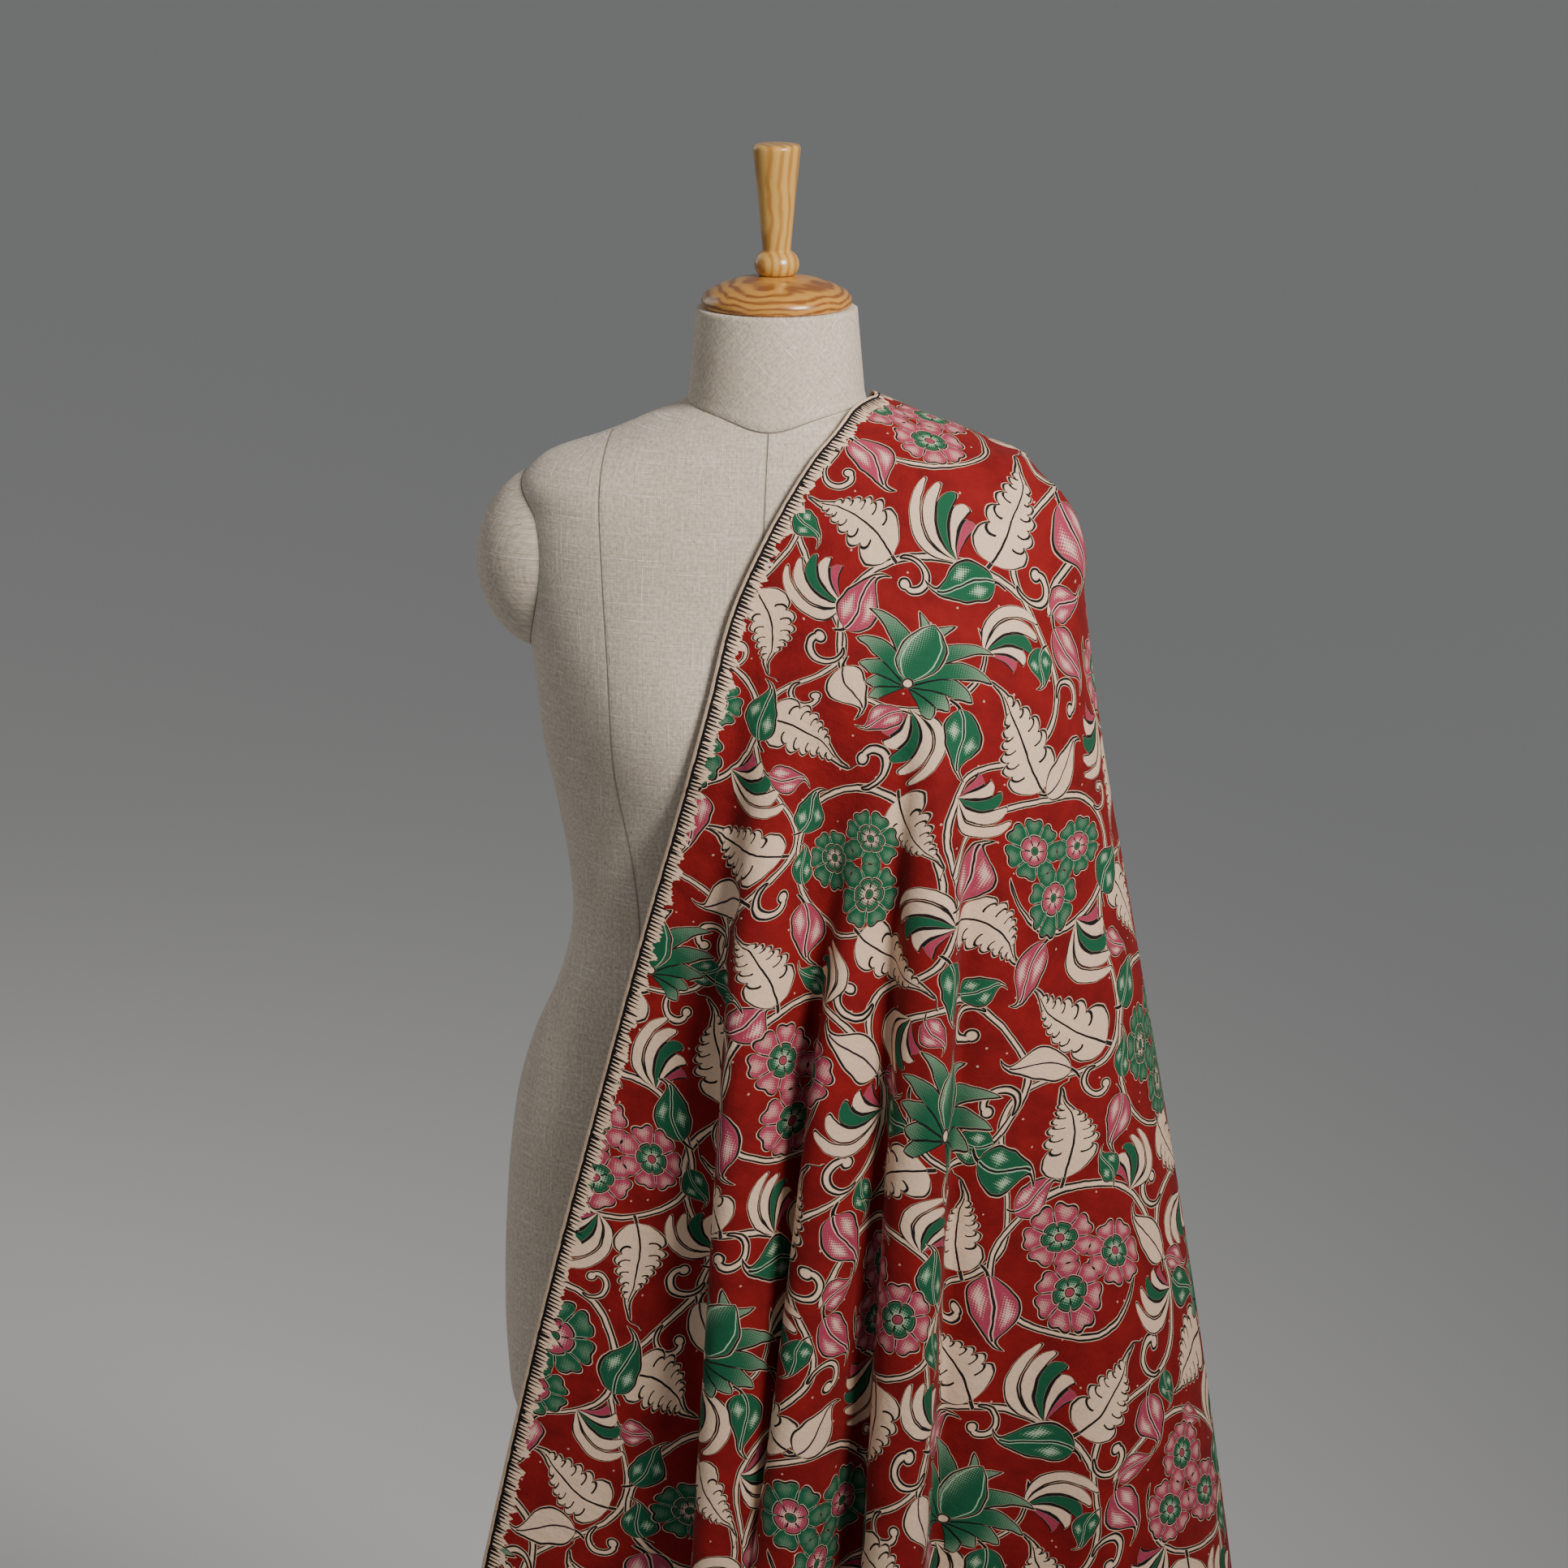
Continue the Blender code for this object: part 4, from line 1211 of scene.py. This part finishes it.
def laidBorder(tree, below):
    # along each selvedge: bare edge, black line and spikes over an uneven pale strip
    inward, along = [times(onPoints(tree, name), 100.0) for name in ("selvedge", "edgeRun")]
    rough = noise("1D", along, 1.1, 3.0, 0.65)[0]
    strip = isUnder(inward, timesPlus(rough, 1.7, 0.35))
    shade = blend(strip, below, "cream")
    fine = noise("1D", along, 5.0, 1.0)[0]
    pitch = pingPong(timesPlus(fine, 0.16, along), 0.14)
    reach = timesPlus(pitch, -7.5, timesPlus(fine, 1.1, 0.66))
    spike = isUnder(inward, reach)
    line = ramp(timesPlus(rough, 0.10, inward), [(0.0, 0), (0.24, 0), (0.26, 1), (0.42, 1), (0.45, 0)])
    mark = greatest(line, times(spike, isOver(inward, 0.30)))
    return blend(mark, shade, "black")


def kalamkariColour(plan):
    # hand-drawn lines waver a little
    for scale, waver in ((0.10, 2.6), (1.3, 0.10)):
        plan = arrows("MULTIPLY_ADD", noise("2D", plan, scale, 1.0)[1], (waver, waver, 0.0), plan)
    # halftone dots of the block
    dotPlan = moved(plan, turn=0.785, size=(11.0, 11.0, 0.0))
    waves = parts(arrows("SINE", arrows("MULTIPLY", dotPlan, (math.pi, math.pi, 0.0))))
    dots = times(waves[0], waves[1])
    # the red ground is brushed, with pale flecks where it missed
    brushed = noise("2D", plan, 0.45, 3.0, 0.6)[0]
    colour = ramp(brushed, [(0.30, "darkRed"), (0.52, "red"), (0.75, "lightRed")])
    flecks = addNode("ShaderNodeTexVoronoi", {"voronoi_dimensions": "2D"}, {"Vector": plan, "Scale": 0.42})
    colour = blend(isUnder(flecks.outputs["Distance"], 0.026), colour, "thinRed")
    layers = [
        (laidVines,), (laidScrolls,), (laidCurls,), (laidFans,), (laidLeaves, dots, "smallLeaves"),
        (laidScallops,), (laidLeaves, dots, "leaves"), (laidLotuses, dots), (laidClusters, dots),
    ]
    tie = 0.0000001
    for drawn, *more in layers:
        colour = drawn(plan, colour, *more)
        # ties the next layer to this one, so that the shader holds few values at once
        plan = arrows("MULTIPLY_ADD", colour, (tie, tie, 0.0), plan)
    return colour


# where the plan lies on the cloth, its cm to a metre of the flat map, and how crushed the cloth is
clothPrint = {
    "across": 3.0,
    "along": 6.0,
    "size": 84.0,
    "crush": 2.6,
    "relief": (0.6, 0.0006),
    "own": {"Sheen Weight": 0.05, "Sheen Roughness": 0.4, "Specular IOR Level": 0.20},
}


def kalamkariFinish():
    material, tree, shader = newMaterial("kalamkariPrint")
    flat = onFlat(tree)
    plan = moved(flat, (clothPrint["across"], clothPrint["along"], 0.0),
                 size=(clothPrint["size"], -clothPrint["size"], 0.0))
    colour = laidBorder(tree, kalamkariColour(plan))
    # yarns of the cotton and soft crushing
    yarn = yarnOf(flat, 60.0, 1900.0, 1.7, 5.3)
    colour = blend(1.0, colour, ramp(yarn, [(0.30, 0.88), (0.70, 1.06)]), "MULTIPLY")
    height = timesPlus(noise("2D", flat, 95.0, 5.0, 0.62)[0], clothPrint["crush"], yarn)
    joinShader(shader, colour, timesPlus(yarn, 0.15, 0.74), height, clothPrint["relief"], clothPrint["own"])
    return material


linen = linenFinish("linenCover", ["princess", "middleSeam", "sideSeam"])
linenNeck = linenFinish("linenOnBias", ["seat"])
linenArm = linenFinish("linenArmCap", ["seat"])
honeyWood = woodFinish("honeyWood")
capWood = woodFinish("capWood")
blackMetal = paintedMetal("blackMetal")
kalamkari = kalamkariFinish()
print("finishes made,", len(kalamkari.node_tree.nodes), "nodes in the print")

dressed = [
    (torso, linen, "linen", "form_torso"),
    (neck, linenNeck, "linen", "form_neck"),
    (armLeft, linenArm, "linen", "form_arm_left"),
    (armRight, linenArm, "linen", "form_arm_right"),
    (cap, capWood, "varnished_wood", "neck_cap"),
    (finial, honeyWood, "varnished_wood", "finial"),
    (pole, blackMetal, "dark_metal", "stand_pole"),
    (foot, blackMetal, "dark_metal", "stand_base"),
    (sheet, kalamkari, "printed_cotton", "kalamkari_cloth"),
]
for piece, material, slotName, node in dressed:
    piece.data.materials.clear()
    piece.data.materials.append(material)
    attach(piece, "root")
    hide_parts(node)


# floor, light and camera

studio = {
    "camera": {"distance": 3.4, "height": 1.98, "azimuth": 5.7, "tilt": 13.88, "aside": 0.0825,
               "lens": 116.53},
    "floor": (0.80, 0.79, 0.77),
    "air": (0.86, 0.88, 0.90),
    "airStrength": 0.23,
    # name, place, aimed at, size, power, spread in degrees, colour
    "lamps": [
        ("keyLamp", (1.55, -1.60, 2.65), (-0.03, 0.0, 1.48), 0.8, 12.6, 60.0, (1.0, 0.955, 0.90)),
        ("fillLamp", (-2.6, -2.4, 1.9), (0.0, 0.0, 1.2), 1.8, 6.0, 180.0, (0.95, 0.97, 1.0)),
        ("backLamp", (-2.4, 1.5, 2.3), (0.0, 0.0, 1.2), 1.8, 10.0, 180.0, (1.0, 1.0, 1.0)),
    ],
}


def makeStudio():
    nothingSelected()
    bpy.ops.mesh.primitive_plane_add(size=80.0, location=(0.0, 0.0, 0.0))
    floor = bpy.context.object
    floor.name = "paleFloor"
    bpy.ops.object.transform_apply(location=True)
    material, tree, shader = newMaterial("paleFloor")
    shader.inputs["Base Color"].default_value = (*studio["floor"], 1.0)
    shader.inputs["Roughness"].default_value = 0.9
    floor.data.materials.append(material)
    world = bpy.data.worlds.new("paleRoom")
    bpy.context.scene.world = world
    world.use_nodes = True
    back = world.node_tree.nodes["Background"]
    back.inputs[0].default_value = (*studio["air"], 1.0)
    back.inputs[1].default_value = studio["airStrength"]
    for name, place, aim, size, power, spread, colour in studio["lamps"]:
        lamp = bpy.data.lights.new(name, "AREA")
        lamp.energy = power
        lamp.size = size
        lamp.spread = math.radians(spread)
        lamp.color = colour
        holder = bpy.data.objects.new(name, lamp)
        holder.location = place
        look = Vector(aim) - Vector(place)
        holder.rotation_euler = look.to_track_quat("-Z", "Y").to_euler()
        bpy.context.scene.collection.objects.link(holder)
    view = studio["camera"]
    eye = bpy.data.cameras.new("photoCamera")
    eye.lens = view["lens"]
    eye.sensor_width = 36.0
    holder = bpy.data.objects.new("photoCamera", eye)
    turn = math.radians(view["azimuth"])
    holder.location = (view["distance"] * math.sin(turn), -view["distance"] * math.cos(turn), view["height"])
    heading = math.radians(view["azimuth"] - view["aside"])
    holder.rotation_euler = (math.radians(90.0 - view["tilt"]), 0.0, heading)
    bpy.context.scene.collection.objects.link(holder)
    bpy.context.scene.camera = holder


makeStudio()
print("studio lit")
